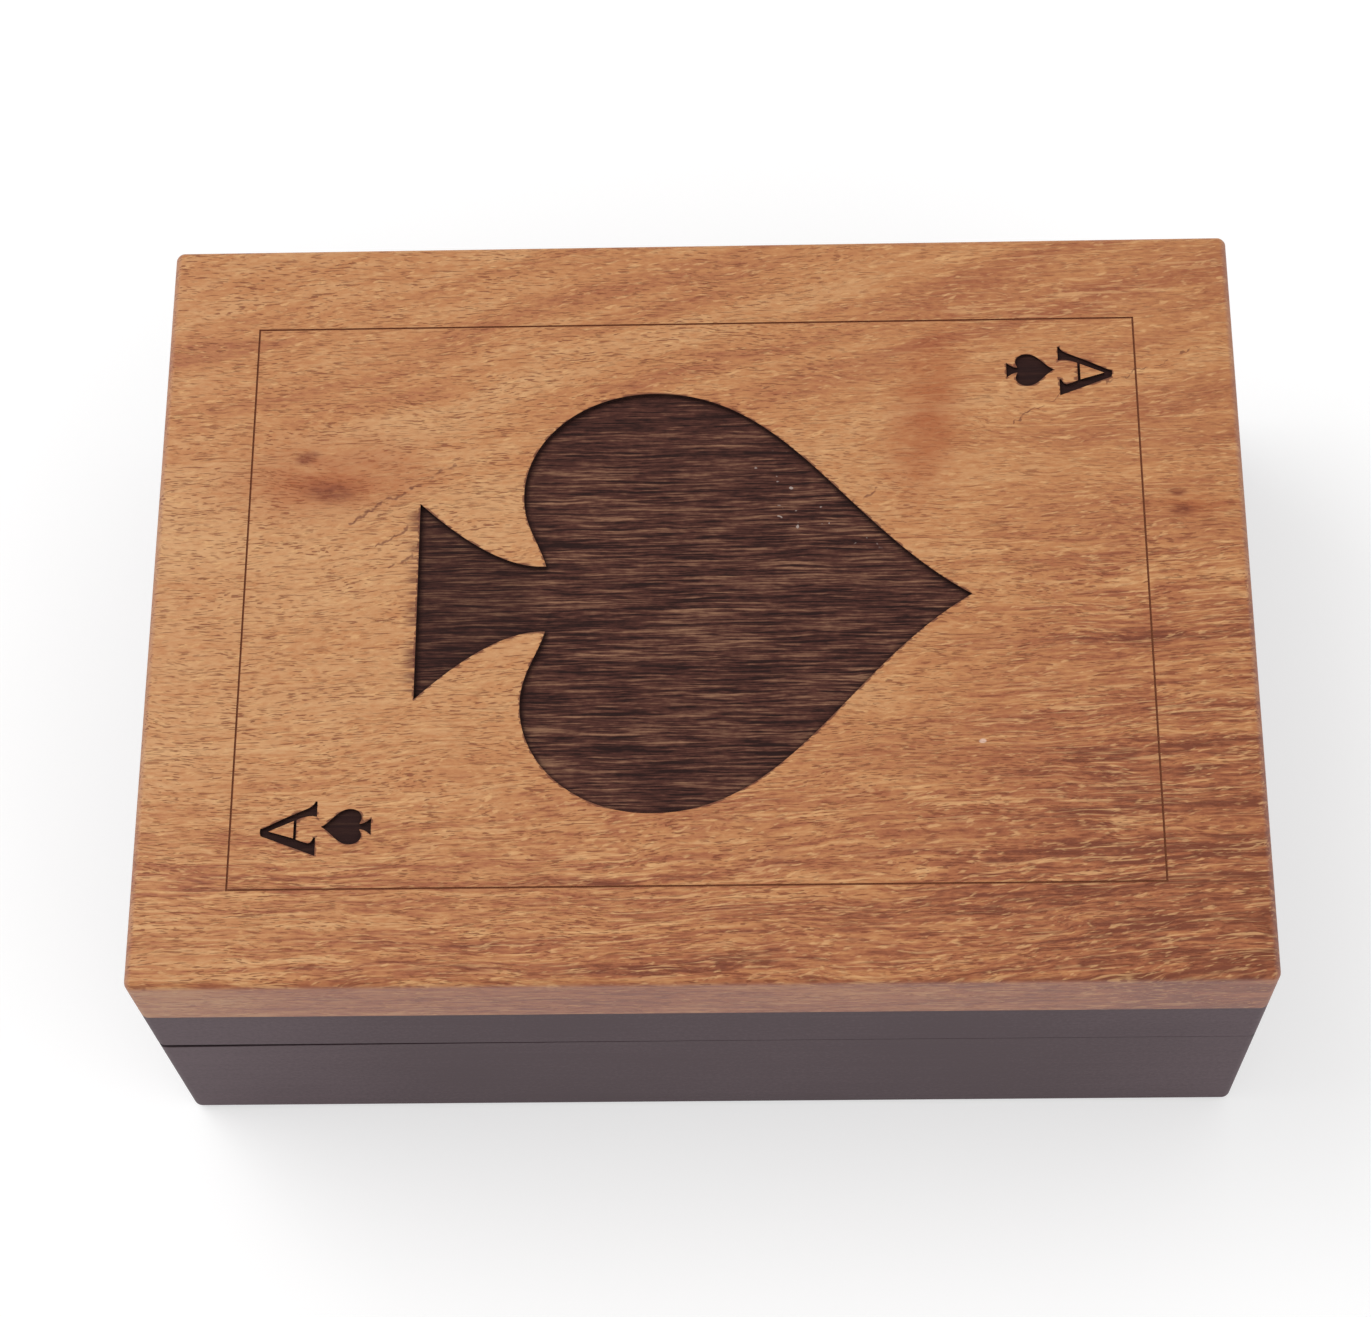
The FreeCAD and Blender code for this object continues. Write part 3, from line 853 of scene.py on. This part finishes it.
@dataclass(frozen=True)
class WireSteel:
    """Bright drawn wire, dulled a little."""

    clean: Colour = srgb(190, 188, 184)
    dull: Colour = srgb(140, 134, 126)
    marks: Pattern = Pattern((900.0, 900.0, 900.0), 3.0, 0.6, shown=(0.4, 0.65))

    def build(self) -> bpy.types.Material:
        """Builds the material.

        Returns:
            The material of the brads.
        """
        shader = Shader("wire_steel")
        marks = shader.noise(self.marks)
        colour = shader.mix(shader.ramp(marks, *self.marks.shown), self.clean, self.dull)
        return shader.finish(Base_Color=colour, Roughness=shader.linear(marks, 0.3, 0.2), Metallic=1.0)


# ------------------------------------------------------------------ mesh tools


def mesh_piece(name: str, points: np.ndarray, faces: list, body: Body) -> bpy.types.Object:
    """Makes an object from points and faces, and lets it ride on a body.

    Args:
        name: The piece's name.
        points: Rows of X, Y, Z in metres.
        faces: Lists of point numbers.
        body: The body it moves with.

    Returns:
        The object.
    """
    mesh = bpy.data.meshes.new(name)
    mesh.from_pydata(points.tolist(), [], faces)
    mesh.update()
    piece = bpy.data.objects.new(name, mesh)
    bpy.context.scene.collection.objects.link(piece)
    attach(piece, body.value)
    return piece


def bezier(span: tuple, steps: int) -> np.ndarray:
    """Points along a cubic Bezier span, without its last one.

    With t from 0 to 1 a point is (1-t)^3 P0 + 3 (1-t)^2 t P1 + 3 (1-t) t^2 P2 + t^3 P3.

    Args:
        span: The four control points.
        steps: How many points.

    Returns:
        Rows of X, Y.
    """
    t = np.linspace(0.0, 1.0, steps, endpoint=False)[:, None]
    weights = ((1 - t) ** 3, 3 * (1 - t) ** 2 * t, 3 * (1 - t) * t**2, t**3)
    return sum(weight * np.array(point) for weight, point in zip(weights, span))


def straight(start: tuple, end: tuple, step: float) -> np.ndarray:
    """Points spaced along a straight line, without its last one.

    Args:
        start: First end.
        end: Second end.
        step: Spacing, at most.

    Returns:
        Rows of X, Y.
    """
    start, end = np.array(start, float), np.array(end, float)
    count = max(1, math.ceil(float(np.hypot(*(end - start))) / step))
    return start + (end - start) * np.linspace(0.0, 1.0, count, endpoint=False)[:, None]


def inside(outline: np.ndarray, points: np.ndarray) -> np.ndarray:
    """Tells which points lie inside a closed outline, by counting the edges crossed on the way to +X.

    Args:
        outline: Rows of X, Y.
        points: Rows of X, Y.

    Returns:
        One true or false per point.
    """
    a, b = outline, np.roll(outline, -1, axis=0)
    px, py = points[:, :1], points[:, 1:]
    spans = (a[:, 1] > py) != (b[:, 1] > py)
    rise = np.where(b[:, 1] == a[:, 1], 1.0, b[:, 1] - a[:, 1])
    crossing = a[:, 0] + (py - a[:, 1]) * (b[:, 0] - a[:, 0]) / rise
    return (np.sum(spans & (px < crossing), axis=1) % 2) == 1


def distance_to(outline: np.ndarray, points: np.ndarray) -> np.ndarray:
    """Shortest distance from each point to a closed outline.

    Args:
        outline: Rows of X, Y.
        points: Rows of X, Y.

    Returns:
        The distances, each to the nearest point start + t (end - start) of an edge, with t held from 0 to 1.
    """
    best = np.full(len(points), np.inf)
    for start, end in zip(outline, np.roll(outline, -1, axis=0)):
        along = end - start
        t = np.clip(((points - start) @ along) / max(along @ along, 1e-12), 0.0, 1.0)
        best = np.minimum(best, np.hypot(*(points - start - t[:, None] * along).T))
    return best


def looped(numbers: np.ndarray) -> np.ndarray:
    """Pairs of each number in a closed loop and the one after it."""
    return np.stack([numbers, np.roll(numbers, -1)], axis=1)


def weld(piece: bpy.types.Object, distance: float = 1e-7) -> None:
    """Joins points that lie in the same place, keeping the order of the faces.

    Args:
        piece: The object.
        distance: How far apart such points may lie, in metres.
    """
    work = bmesh.new()
    work.from_mesh(piece.data)
    bmesh.ops.remove_doubles(work, verts=work.verts, dist=distance)
    work.to_mesh(piece.data)
    work.free()


def shade_smooth(piece: bpy.types.Object, angle: float) -> None:
    """Shades a piece smoothly, except across edges sharper than an angle in degrees."""
    piece.data.shade_smooth()
    piece.data.set_sharp_from_angle(angle=math.radians(angle))


def dress(node: str, material: bpy.types.Material) -> None:
    """Puts one material on a frame node.

    Args:
        node: The node's name.
        material: Its finish.
    """
    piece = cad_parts[node]
    piece.data.materials.clear()
    piece.data.materials.append(material)
    LOG.info("%s: %s", node, material.name)


# ---------------------------------------------------------------- sub-assemblies


@dataclass(frozen=True)
class Pocket:
    """An engraved outline, as rows of X, Y, and how deep it is cut; 0 stands for an island left standing."""

    outline: np.ndarray
    depth: float


@dataclass
class EngravedPlate:
    """The solid top plate with its ace of spades, all sizes in millimetres.

    The outer shape comes from the frame. The engraving is laid out like a playing card on its side: a large
    spade pointing along +X, a small spade and a letter at two corners, and a thin border.
    """

    corner_radius: float = 1.0
    top_easing: float = 0.9
    corner_points: int = 9
    easing_rings: int = 6
    side_step: float = 2.5
    spade_depth: float = 0.6
    spade_centre: tuple[float, float] = (-0.5, -0.25)
    spade_step: float = 0.35
    index_depth: float = 0.4
    index_scale: tuple[float, float] = (0.088, 0.080)
    index_centre: tuple[float, float] = (-0.15, 0.35)
    index_offset: tuple[float, float] = (37.25, 26.85)
    index_step: float = 0.2
    letter_offset: tuple[float, float] = (43.4, 26.75)
    letter_shift: tuple[float, float] = (0.0, 0.18)
    border_centre: tuple[float, float] = (-0.45, 0.1)
    border_size: tuple[float, float] = (98.55, 67.2)
    border_line: float = 0.22
    border_depth: float = 0.2
    floor_x: Span = (-30.0, 30.0)
    floor_y: Span = (-25.2, 25.0)
    floor_steps: tuple[float, float] = (0.6, 0.2)
    floor_margin: float = 0.12
    furrow_depth: float = 0.09
    furrow_fade: float = 0.8
    furrow_pitches: tuple[float, ...] = (2.3, 1.37, 0.83, 0.61)
    burn_width: float = 0.5
    soot_width: float = 0.32
    soot_share: float = 0.9
    border_margin: float = 1.0
    index_half: tuple[float, float] = (8.0, 4.0)
    sharp_angle: float = 35.0
    merge: float = 1e-5
    spans: tuple = (
        ((30.2, 0.0), (16.3, 8.5), (10.5, 25.1), (-4.5, 25.1)),
        ((-4.5, 25.1), (-12.6, 25.1), (-18.8, 19.5), (-18.8, 12.5)),
        ((-18.8, 12.5), (-18.8, 8.9), (-17.1, 7.0), (-16.2, 3.9)),
        ((-16.2, 3.9), (-20.6, 3.7), (-25.5, 7.2), (-30.25, 11.75)),
    )
    letter_outer: tuple = (
        (2.96, 0.26), (2.98, 0.7), (2.88, 1.08), (-0.52, 2.41), (-2.3, 3.1), (-2.94, 3.35), (-2.94, 1.31),
        (-2.75, 1.27), (-2.6, 1.6), (-2.42, 1.85), (-2.18, 1.94), (-1.51, 1.74), (-0.88, 1.48),
        (-0.88, -0.71), (-1.41, -0.95), (-2.11, -1.12), (-2.61, -1.14), (-3.02, -1.06), (-3.02, -2.77),
        (-2.82, -2.82), (-2.66, -2.5), (-2.4, -2.22), (-2.01, -2.0), (0.18, -1.03), (2.56, 0.15),
    )
    letter_inner: tuple = ((2.07, 0.56), (-0.58, 1.35), (-0.58, -0.6))

    def spade(self, centre: tuple, scale: tuple, turn: int, step: float) -> np.ndarray:
        """The outline of a spade: its upper half from tip to foot, the foot, and the mirrored lower half.

        Args:
            centre: Plan position of its centre.
            scale: Size along and across it, 1 being the large one.
            turn: 1 to point along +X, -1 along -X.
            step: Spacing of the points.

        Returns:
            Rows of X, Y.
        """
        spans = np.array(self.spans)
        lengths = np.hypot(*(spans[:, -1] - spans[:, 0]).T) * max(scale)
        upper = np.vstack([bezier(span, max(4, int(size / step))) for span, size in zip(self.spans, lengths)])
        foot = np.array(self.spans[-1][-1])
        across = straight(tuple(foot), (foot[0], -foot[1]), step / max(scale))
        lower = np.vstack([foot, upper[:0:-1]]) * (1, -1)
        return np.vstack([upper, across, lower]) * scale * turn + np.array(centre)

    def letter(self, turn: int) -> list[np.ndarray]:
        """A plain seriffed capital A lying on its side with its top towards the corner, and the hole in it.

        The one in the upper right corner is the mirror image of the other, shifted a little.

        Args:
            turn: 1 for the upper right corner, -1 for the lower left.

        Returns:
            The outer outline and the inner triangle, as rows of X, Y.
        """
        shapes = [np.array(self.letter_outer), np.array(self.letter_inner)]
        if turn > 0:
            shapes = [shape[::-1] * (1, -1) + self.letter_shift for shape in shapes]
        centre = np.array(self.index_centre) + turn * np.array(self.letter_offset)
        return [shape * turn + centre for shape in shapes]

    def rectangle(self, growth: float) -> np.ndarray:
        """The border's outline, with points at an even spacing.

        Args:
            growth: How much longer and wider it is than the middle of the line.

        Returns:
            Rows of X, Y.
        """
        half = (np.array(self.border_size) + growth) / 2
        corners = [np.array(self.border_centre) + half * sign for sign in QUARTERS]
        sides = zip(corners, corners[1:] + corners[:1])
        return np.vstack([straight(start, end, self.side_step) for start, end in sides])

    def rim(self, inset: float, half: np.ndarray) -> np.ndarray:
        """The plate's outline pulled in by an inset: straight sides joined by quarter circles.

        Args:
            inset: How far inside the plate's sides.
            half: Half of the plate's length and width.

        Returns:
            Rows of X, Y, anticlockwise.
        """
        angles = np.linspace(0.0, math.pi / 2, self.corner_points)
        corners = []
        for number, sign in enumerate(QUARTERS):
            turned = angles + number * math.pi / 2
            arc = np.stack([np.cos(turned), np.sin(turned)], axis=1) * (self.corner_radius - inset)
            corners.append(arc + (half - self.corner_radius) * sign)
        loop = []
        for here, following in zip(corners, corners[1:] + corners[:1]):
            loop += [here[:-1], straight(here[-1], following[0], self.side_step)]
        return np.vstack(loop)

    def pockets(self) -> list[Pocket]:
        """Lists the engraved outlines in the order of cutting: border, large spade, then each corner's.

        Returns:
            The pockets.
        """
        pockets = [
            Pocket(self.rectangle(self.border_line), self.border_depth),
            Pocket(self.rectangle(-self.border_line), 0.0),
            Pocket(self.spade(self.spade_centre, (1.0, 1.0), 1, self.spade_step), self.spade_depth),
        ]
        for turn in (1, -1):
            place = np.array(self.index_centre) + turn * np.array(self.index_offset)
            outer, inner = self.letter(turn)
            small = self.spade(tuple(place), self.index_scale, turn, self.index_step)
            pockets += [Pocket(small, self.index_depth), Pocket(outer, self.index_depth), Pocket(inner, 0.0)]
        return pockets

    def furrows(self, points: np.ndarray) -> np.ndarray:
        """Relief of the burnt floor: ridges along X, from sums of sines whose phase wanders along the plate.

        Height is the mean of swell(x, y) sin(k y + wander(x, y)) over rising k, where swell and wander are
        slow sines of x and y.

        Args:
            points: Rows of X, Y.

        Returns:
            Heights from -1 to 1.
        """
        x, y = points.T
        total = np.zeros(len(points))
        for number, pitch in enumerate(self.furrow_pitches):
            wander = 1.9 * np.sin(x / (5.0 + 2.7 * number) + 1.3 * number) + 1.1 * np.sin(y / 3.1 + x / 17.0)
            swell = 0.55 + 0.45 * np.sin(x / 6.3 + y / 1.9 + number)
            total += np.sin(2 * math.pi * y / pitch + wander) * swell
        return total / len(self.furrow_pitches)

    def floor_points(self, spade: np.ndarray) -> np.ndarray:
        """A fine grid of points over the large spade's floor, clear of its outline.

        Args:
            spade: The outline.

        Returns:
            Rows of X, Y.
        """
        spans = zip((self.floor_x, self.floor_y), self.floor_steps)
        columns, rows = (np.arange(*span, step) for span, step in spans)
        grid = np.stack([part.ravel() for part in np.meshgrid(columns, rows)], axis=1)
        grid = grid[inside(spade, grid)]
        return grid[distance_to(spade, grid) > self.floor_margin]

    def halo(self, marks: list[np.ndarray]) -> np.ndarray:
        """Points beside each engraved outline, where the soot on the face ends.

        Each is pushed out from the outline along its normal, and kept where no other outline is nearer.

        Args:
            marks: Outlines of the engraved shapes.

        Returns:
            Rows of X, Y.
        """
        rings = []
        for outline in marks:
            along = np.roll(outline, -1, axis=0) - np.roll(outline, 1, axis=0)
            across = np.column_stack([along[:, 1], -along[:, 0]])
            across /= np.maximum(np.hypot(*across.T)[:, None], 1e-9)
            rings += [outline + across * self.soot_width, outline - across * self.soot_width]
        points = np.vstack(rings)
        gap = np.min([distance_to(outline, points) for outline in marks], axis=0)
        within = np.any([inside(outline, points) for outline in marks], axis=0)
        return points[(gap > self.soot_share * self.soot_width) & ~within]

    def triangulate(self, loops: list[np.ndarray], loose: list[np.ndarray]) -> tuple[np.ndarray, np.ndarray]:
        """Fills the plan with triangles that keep every outline as edges.

        Args:
            loops: Closed outlines, the plate's rim first.
            loose: Further points between them.

        Returns:
            The points as rows of X, Y, and the triangles, anticlockwise, as rows of three point numbers.
        """
        starts = np.cumsum([0] + [len(loop) for loop in loops])
        edges = [looped(start + np.arange(len(loop))) for start, loop in zip(starts, loops)]
        points = np.vstack(loops + loose).tolist()
        area = [list(range(len(loops[0])))]
        result = delaunay_2d_cdt(points, np.vstack(edges).tolist(), area, 1, self.merge)
        flat = np.array(result[0])
        triangles = np.array([face for face in result[2] if len(face) == 3])
        first, second, third = (flat[triangles[:, corner]] for corner in range(3))
        clockwise = np.cross(second - first, third - first) < 0
        triangles[clockwise] = triangles[clockwise][:, ::-1]
        return flat, triangles

    def build(self) -> bpy.types.Object:
        """Builds the plate as one closed mesh and dresses it.

        The top face is triangulated between all outlines. Triangles inside a pocket are lowered to its floor,
        and each outline gets an upright wall from the face to the floor. The sides are a profile of the eased
        edge, inset r (1 - sin a) at depth r (1 - cos a), carried round the rim.

        Returns:
            The plate.
        """
        low, high = (np.array(corner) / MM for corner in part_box("top_plate"))
        half, top = (high[:2] - low[:2]) / 2, high[2]
        rim = self.rim(self.top_easing, half)
        pockets = self.pockets()
        spade = next(pocket.outline for pocket in pockets if pocket.depth == self.spade_depth)
        marks = [pocket.outline for pocket in pockets if pocket.depth >= self.index_depth]
        outlines = [rim] + [pocket.outline for pocket in pockets]
        flat, triangles = self.triangulate(outlines, [self.floor_points(spade), self.halo(marks)])

        # Depth of each triangle: the last pocket that holds it decides.
        middles = flat[triangles].mean(axis=1)
        depth = np.zeros(len(triangles))
        for pocket in pockets:
            depth[inside(pocket.outline, middles)] = pocket.depth
        levels, level_of = np.unique(depth, return_inverse=True)

        # One copy of a point for each depth at which it is used.
        rows, faces, burnt = [], [], []
        copies = np.zeros((len(levels), len(flat)), dtype=int)
        count = 0
        for number, level in enumerate(levels):
            used = triangles[level_of == number]
            unique = np.unique(used)
            height = np.full(len(unique), top - level)
            if level == self.spade_depth:
                gap = distance_to(spade, flat[unique])
                fade = np.clip(gap / self.furrow_fade, 0.0, 1.0)
                height += self.furrow_depth * self.furrows(flat[unique]) * fade
            rows.append(np.column_stack([flat[unique], height]))
            copies[number, unique] = count + np.arange(len(unique))
            faces += copies[number][used].tolist()
            burnt += [int(level > 0)] * len(used)
            count += len(unique)
        walls = self.walls(triangles, level_of, copies)
        faces += walls
        burnt += [1] * len(walls)

        # Sides and underside.
        angles = np.linspace(0.0, math.pi / 2, self.easing_rings)
        insets = np.append(self.top_easing * (1 - np.sin(angles)), 0.0)
        heights = np.append(top - self.top_easing * (1 - np.cos(angles)), low[2])
        for inset, z in zip(insets, heights):
            rows.append(np.column_stack([self.rim(inset, half), np.full(len(rim), z)]))
        around = looped(np.arange(len(rim)))
        for level in range(len(insets) - 1):
            here, following = (count + level * len(rim) + around).T
            faces += np.stack([here, here + len(rim), following + len(rim), following], axis=1).tolist()
        faces.append((count + (len(insets) - 1) * len(rim) + np.arange(len(rim)))[::-1].tolist())
        burnt += [0] * (len(faces) - len(burnt))

        plate = mesh_piece("engraved_top_plate", np.vstack(rows) * MM, faces, Body.CASING)
        weld(plate)
        self.mark(plate, spade, marks, burnt)
        plate.data.materials.append(OiledTopWood().build())
        plate.data.materials.append(BurntWood().build())
        shade_smooth(plate, self.sharp_angle)
        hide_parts("top_plate")
        LOG.info("%s: %d faces", plate.name, len(plate.data.polygons))
        return plate

    def walls(self, triangles: np.ndarray, level_of: np.ndarray, copies: np.ndarray) -> list[list[int]]:
        """Upright walls, one on each edge that is shared by triangles of two depths.

        Args:
            triangles: Rows of three point numbers.
            level_of: Number of each triangle's depth, the shallowest being 0.
            copies: Number of each point's copy at each depth.

        Returns:
            The walls, as lists of four point numbers.
        """
        ends = np.stack([triangles, np.roll(triangles, -1, axis=1)], axis=-1).reshape(-1, 2)
        key = ends.min(axis=1) * copies.shape[1] + ends.max(axis=1)
        order = np.argsort(key, kind="stable")
        twin = np.flatnonzero(key[order][1:] == key[order][:-1])
        first, second = order[twin], order[twin + 1]
        level = np.repeat(level_of, 3)
        stepped = np.flatnonzero(level[first] != level[second])
        stepped = stepped[np.argsort(first[stepped])]
        first, second = first[stepped], second[stepped]
        deep = np.where(level[first] > level[second], first, second)
        shallow = first + second - deep
        start, end = ends[deep].T
        upper, lower = level[shallow], level[deep]
        corners = (copies[upper, start], copies[upper, end], copies[lower, end], copies[lower, start])
        return np.stack(corners, axis=1).tolist()

    def mark(self, plate: bpy.types.Object, spade: np.ndarray, marks: list, burnt: list) -> None:
        """Gives the burnt faces their material, and writes how burnt each point is.

        The attribute "burn" runs from -1 for the pale border line to 1 for charred wood; "soot" is 1 at an
        engraved outline and 0 where the soot beside it ends.

        Args:
            plate: The plate.
            spade: Outline of the large spade.
            marks: Outlines of all engraved shapes.
            burnt: For each face, 1 where it is engraved.
        """
        mesh = plate.data
        mesh.polygons.foreach_set("material_index", np.array(burnt, dtype=np.int32))
        points = np.empty(len(mesh.vertices) * 3)
        mesh.vertices.foreach_get("co", points)
        plan = points.reshape(-1, 3)[:, :2] / MM
        burn = np.clip(1.0 - distance_to(spade, plan) / self.burn_width, 0.0, 1.0)
        from_border = np.abs(plan - np.array(self.border_centre)) - np.array(self.border_size) / 2
        burn[np.max(from_border, axis=1) > -self.border_margin] = -1.0
        between = (np.array(self.index_offset) + np.array(self.letter_offset)) / 2
        for turn in (1, -1):
            place = np.array(self.index_centre) + turn * between
            burn[np.max(np.abs(plan - place) - self.index_half, axis=1) < 0.0] = 1.0
        gap = np.min([distance_to(outline, plan) for outline in marks], axis=0)
        soot = np.clip(1.0 - gap / (self.soot_share * self.soot_width), 0.0, 1.0)
        for name, values in (("burn", burn), ("soot", soot)):
            attribute = mesh.attributes.new(name, "FLOAT", "POINT")
            attribute.data.foreach_set("value", values.astype(np.float32))


@dataclass
class Casing:
    """The painted boards, the plywood base and its brads, which keep the frame's own shapes."""

    painted: tuple[str, ...] = ("upper_board", "left_side", "right_side", "back_board")

    def build(self) -> None:
        """Dresses the nodes of the casing."""
        paint = DarkPaint().build()
        for node in self.painted:
            dress(node, paint)
        low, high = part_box("base_panel")
        dress("base_panel", Plywood("base_plywood", low[2], high[2] - low[2]).build())
        dress("base_brads", WireSteel().build())


@dataclass
class Drawer:
    """The drawer: a painted front, bare sides and back, a plywood bottom and a felt lining.

    The lining's sizes are in metres: how far its cut edge is rounded inwards and downwards, how far the nap's
    middle lies under the node's top, and how high its waves are.
    """

    columns: int = 161
    rows: int = 113
    edge_width: float = 0.0012
    edge_fall: float = 0.0004
    nap_middle: float = 0.00005
    nap_height: float = 0.00004
    sharp_angle: float = 50.0

    def build(self) -> None:
        """Dresses the nodes of the drawer and builds its lining."""
        dress("drawer_front", DarkPaint().build())
        lengthwise = BareWood("drawer_side_wood", Grain.ALONG_Y).build()
        for node in ("drawer_left_side", "drawer_right_side"):
            dress(node, lengthwise)
        dress("drawer_back", BareWood("drawer_back_wood", Grain.ALONG_X).build())
        low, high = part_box("drawer_bottom")
        dress("drawer_bottom", Plywood("drawer_plywood", low[2], high[2] - low[2]).build())
        dress("drawer_brads", WireSteel().build())
        self.lining()

    def lining(self) -> bpy.types.Object:
        """Builds the felt as a thin slab whose top is a grid with a slightly uneven nap and soft edges.

        Height over the plan is the slab's thickness, less a quarter circle at the edge, plus small waves.

        Returns:
            The felt.
        """
        low, high = (np.array(corner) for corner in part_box("drawer_lining"))
        size = high - low
        u, v = np.meshgrid(np.linspace(0.0, 1.0, self.columns), np.linspace(0.0, 1.0, self.rows))
        x, y = low[0] + u * size[0], low[1] + v * size[1]
        edge = np.minimum.reduce([u * size[0], (1 - u) * size[0], v * size[1], (1 - v) * size[1]])
        outward = 1 - np.clip(edge / self.edge_width, 0, 1)
        fall = self.edge_fall * (1 - np.sqrt(np.clip(1 - outward**2, 0, 1)))
        waves = np.sin(x * 900 + 2 * np.sin(y * 500)) * np.sin(y * 1100 + 1.5 * np.sin(x * 430))
        z = high[2] - self.nap_middle - fall + self.nap_height * waves
        upper = np.stack([x.ravel(), y.ravel(), z.ravel()], axis=1)
        lower = np.column_stack([upper[:, :2], np.full(len(upper), low[2])])
        grid = np.arange(len(upper)).reshape(self.rows, self.columns)
        quads = np.stack([grid[:-1, :-1], grid[:-1, 1:], grid[1:, 1:], grid[1:, :-1]], axis=-1).reshape(-1, 4)
        border = np.concatenate([grid[0, :-1], grid[:-1, -1], grid[-1, :0:-1], grid[:0:-1, 0]])
        here, following = looped(border).T
        sides = np.stack([here, here + len(upper), following + len(upper), following], axis=1)
        faces = np.vstack([quads, quads[:, ::-1] + len(upper), sides]).tolist()
        felt = mesh_piece("felt_lining", np.vstack([upper, lower]), faces, Body.DRAWER)
        felt.data.materials.append(Felt().build())
        shade_smooth(felt, self.sharp_angle)
        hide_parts("drawer_lining")
        LOG.info("%s: %d faces", felt.name, len(felt.data.polygons))
        return felt


# ----------------------------------------------------------------------- stage


@dataclass(frozen=True)
class Lamp:
    """A square soft lamp that faces the box: its position and side in metres, and its power in watts."""

    name: str
    place: tuple[float, float, float]
    size: float
    watts: float


@dataclass
class Studio:
    """A pale floor, soft lamps and the camera, in metres."""

    camera_place: tuple[float, float, float] = (0.0085688, -0.1472502, 0.3641840)
    camera_right: tuple[float, float, float] = (0.999516, 0.000628, -0.031088)
    camera_up: tuple[float, float, float] = (0.011887, 0.916152, 0.400655)
    camera_forward: tuple[float, float, float] = (-0.028733, 0.400831, -0.915701)
    camera_near: float = 0.01
    lens: float = 84.84
    sensor: float = 36.0
    lamps: tuple[Lamp, ...] = (
        Lamp("key", (-0.55, 0.25, 0.9), 0.7, 4.6),
        Lamp("fill", (0.6, -0.5, 0.8), 0.9, 2.2),
    )
    floor_size: float = 6.0
    floor_level: float = -0.00005
    floor_colour: Colour = (0.9, 0.9, 0.9)
    floor_seen: Colour = (0.6, 0.6, 0.6)
    floor_glow: float = 0.47
    air: float = 0.57
    air_seen: float = 0.43

    def build(self) -> None:
        """Builds floor, light and camera."""
        self.floor()
        for lamp in self.lamps:
            self.hang(lamp)
        self.sky()
        self.camera()

    def floor(self) -> None:
        """Lays a large pale floor, which the camera sees as white and which keeps the shadow."""
        mesh = bpy.data.meshes.new("floor")
        half = self.floor_size / 2
        corners = ((-half, -half), (half, -half), (half, half), (-half, half))
        mesh.from_pydata([(x, y, self.floor_level) for x, y in corners], [], [(0, 1, 2, 3)])
        floor = bpy.data.objects.new("floor", mesh)
        bpy.context.scene.collection.objects.link(floor)
        shader = Shader("pale_floor")
        seen = shader.seen()
        material = shader.finish(
            Base_Color=shader.mix(seen, self.floor_colour, self.floor_seen),
            Roughness=0.9,
            Emission_Color=(1.0, 1.0, 1.0),
            Emission_Strength=shader.times(seen, self.floor_glow),
        )
        floor.data.materials.append(material)

    def hang(self, lamp: Lamp) -> None:
        """Hangs a lamp so that it faces the box.

        Args:
            lamp: Its sizes.
        """
        light = bpy.data.lights.new(lamp.name, "AREA")
        light.size = lamp.size
        light.energy = lamp.watts
        hung = bpy.data.objects.new(lamp.name, light)
        hung.location = lamp.place
        hung.rotation_euler = (-Vector(lamp.place)).to_track_quat("-Z", "Y").to_euler()
        bpy.context.scene.collection.objects.link(hung)

    def sky(self) -> None:
        """Surrounds everything with even pale light, white where the camera sees it."""
        world = bpy.data.worlds.new("studio_air")
        bpy.context.scene.world = world
        world.use_nodes = True
        tree = Tree(world.node_tree)
        background = world.node_tree.nodes["Background"]
        tree.link((1.0, 1.0, 1.0), background.inputs["Color"])
        tree.link(tree.linear(tree.seen(), self.air_seen, self.air), background.inputs["Strength"])

    def camera(self) -> None:
        """Places the camera by its three axes."""
        data = bpy.data.cameras.new("camera")
        data.lens = self.lens
        data.sensor_width = self.sensor
        data.clip_start = self.camera_near
        camera = bpy.data.objects.new("camera", data)
        columns = (Vector(self.camera_right), Vector(self.camera_up), -Vector(self.camera_forward))
        turn = Matrix([[column[row] for column in columns] for row in range(3)]).to_4x4()
        camera.matrix_world = Matrix.Translation(self.camera_place) @ turn
        bpy.context.scene.collection.objects.link(camera)
        bpy.context.scene.camera = camera


def main() -> None:
    """Builds the box and its studio."""
    logging.basicConfig(level=logging.INFO, format="%(message)s")
    bpy.context.scene.view_settings.view_transform = "Standard"
    EngravedPlate().build()
    Casing().build()
    Drawer().build()
    Studio().build()


if __name__ == "__main__":
    main()
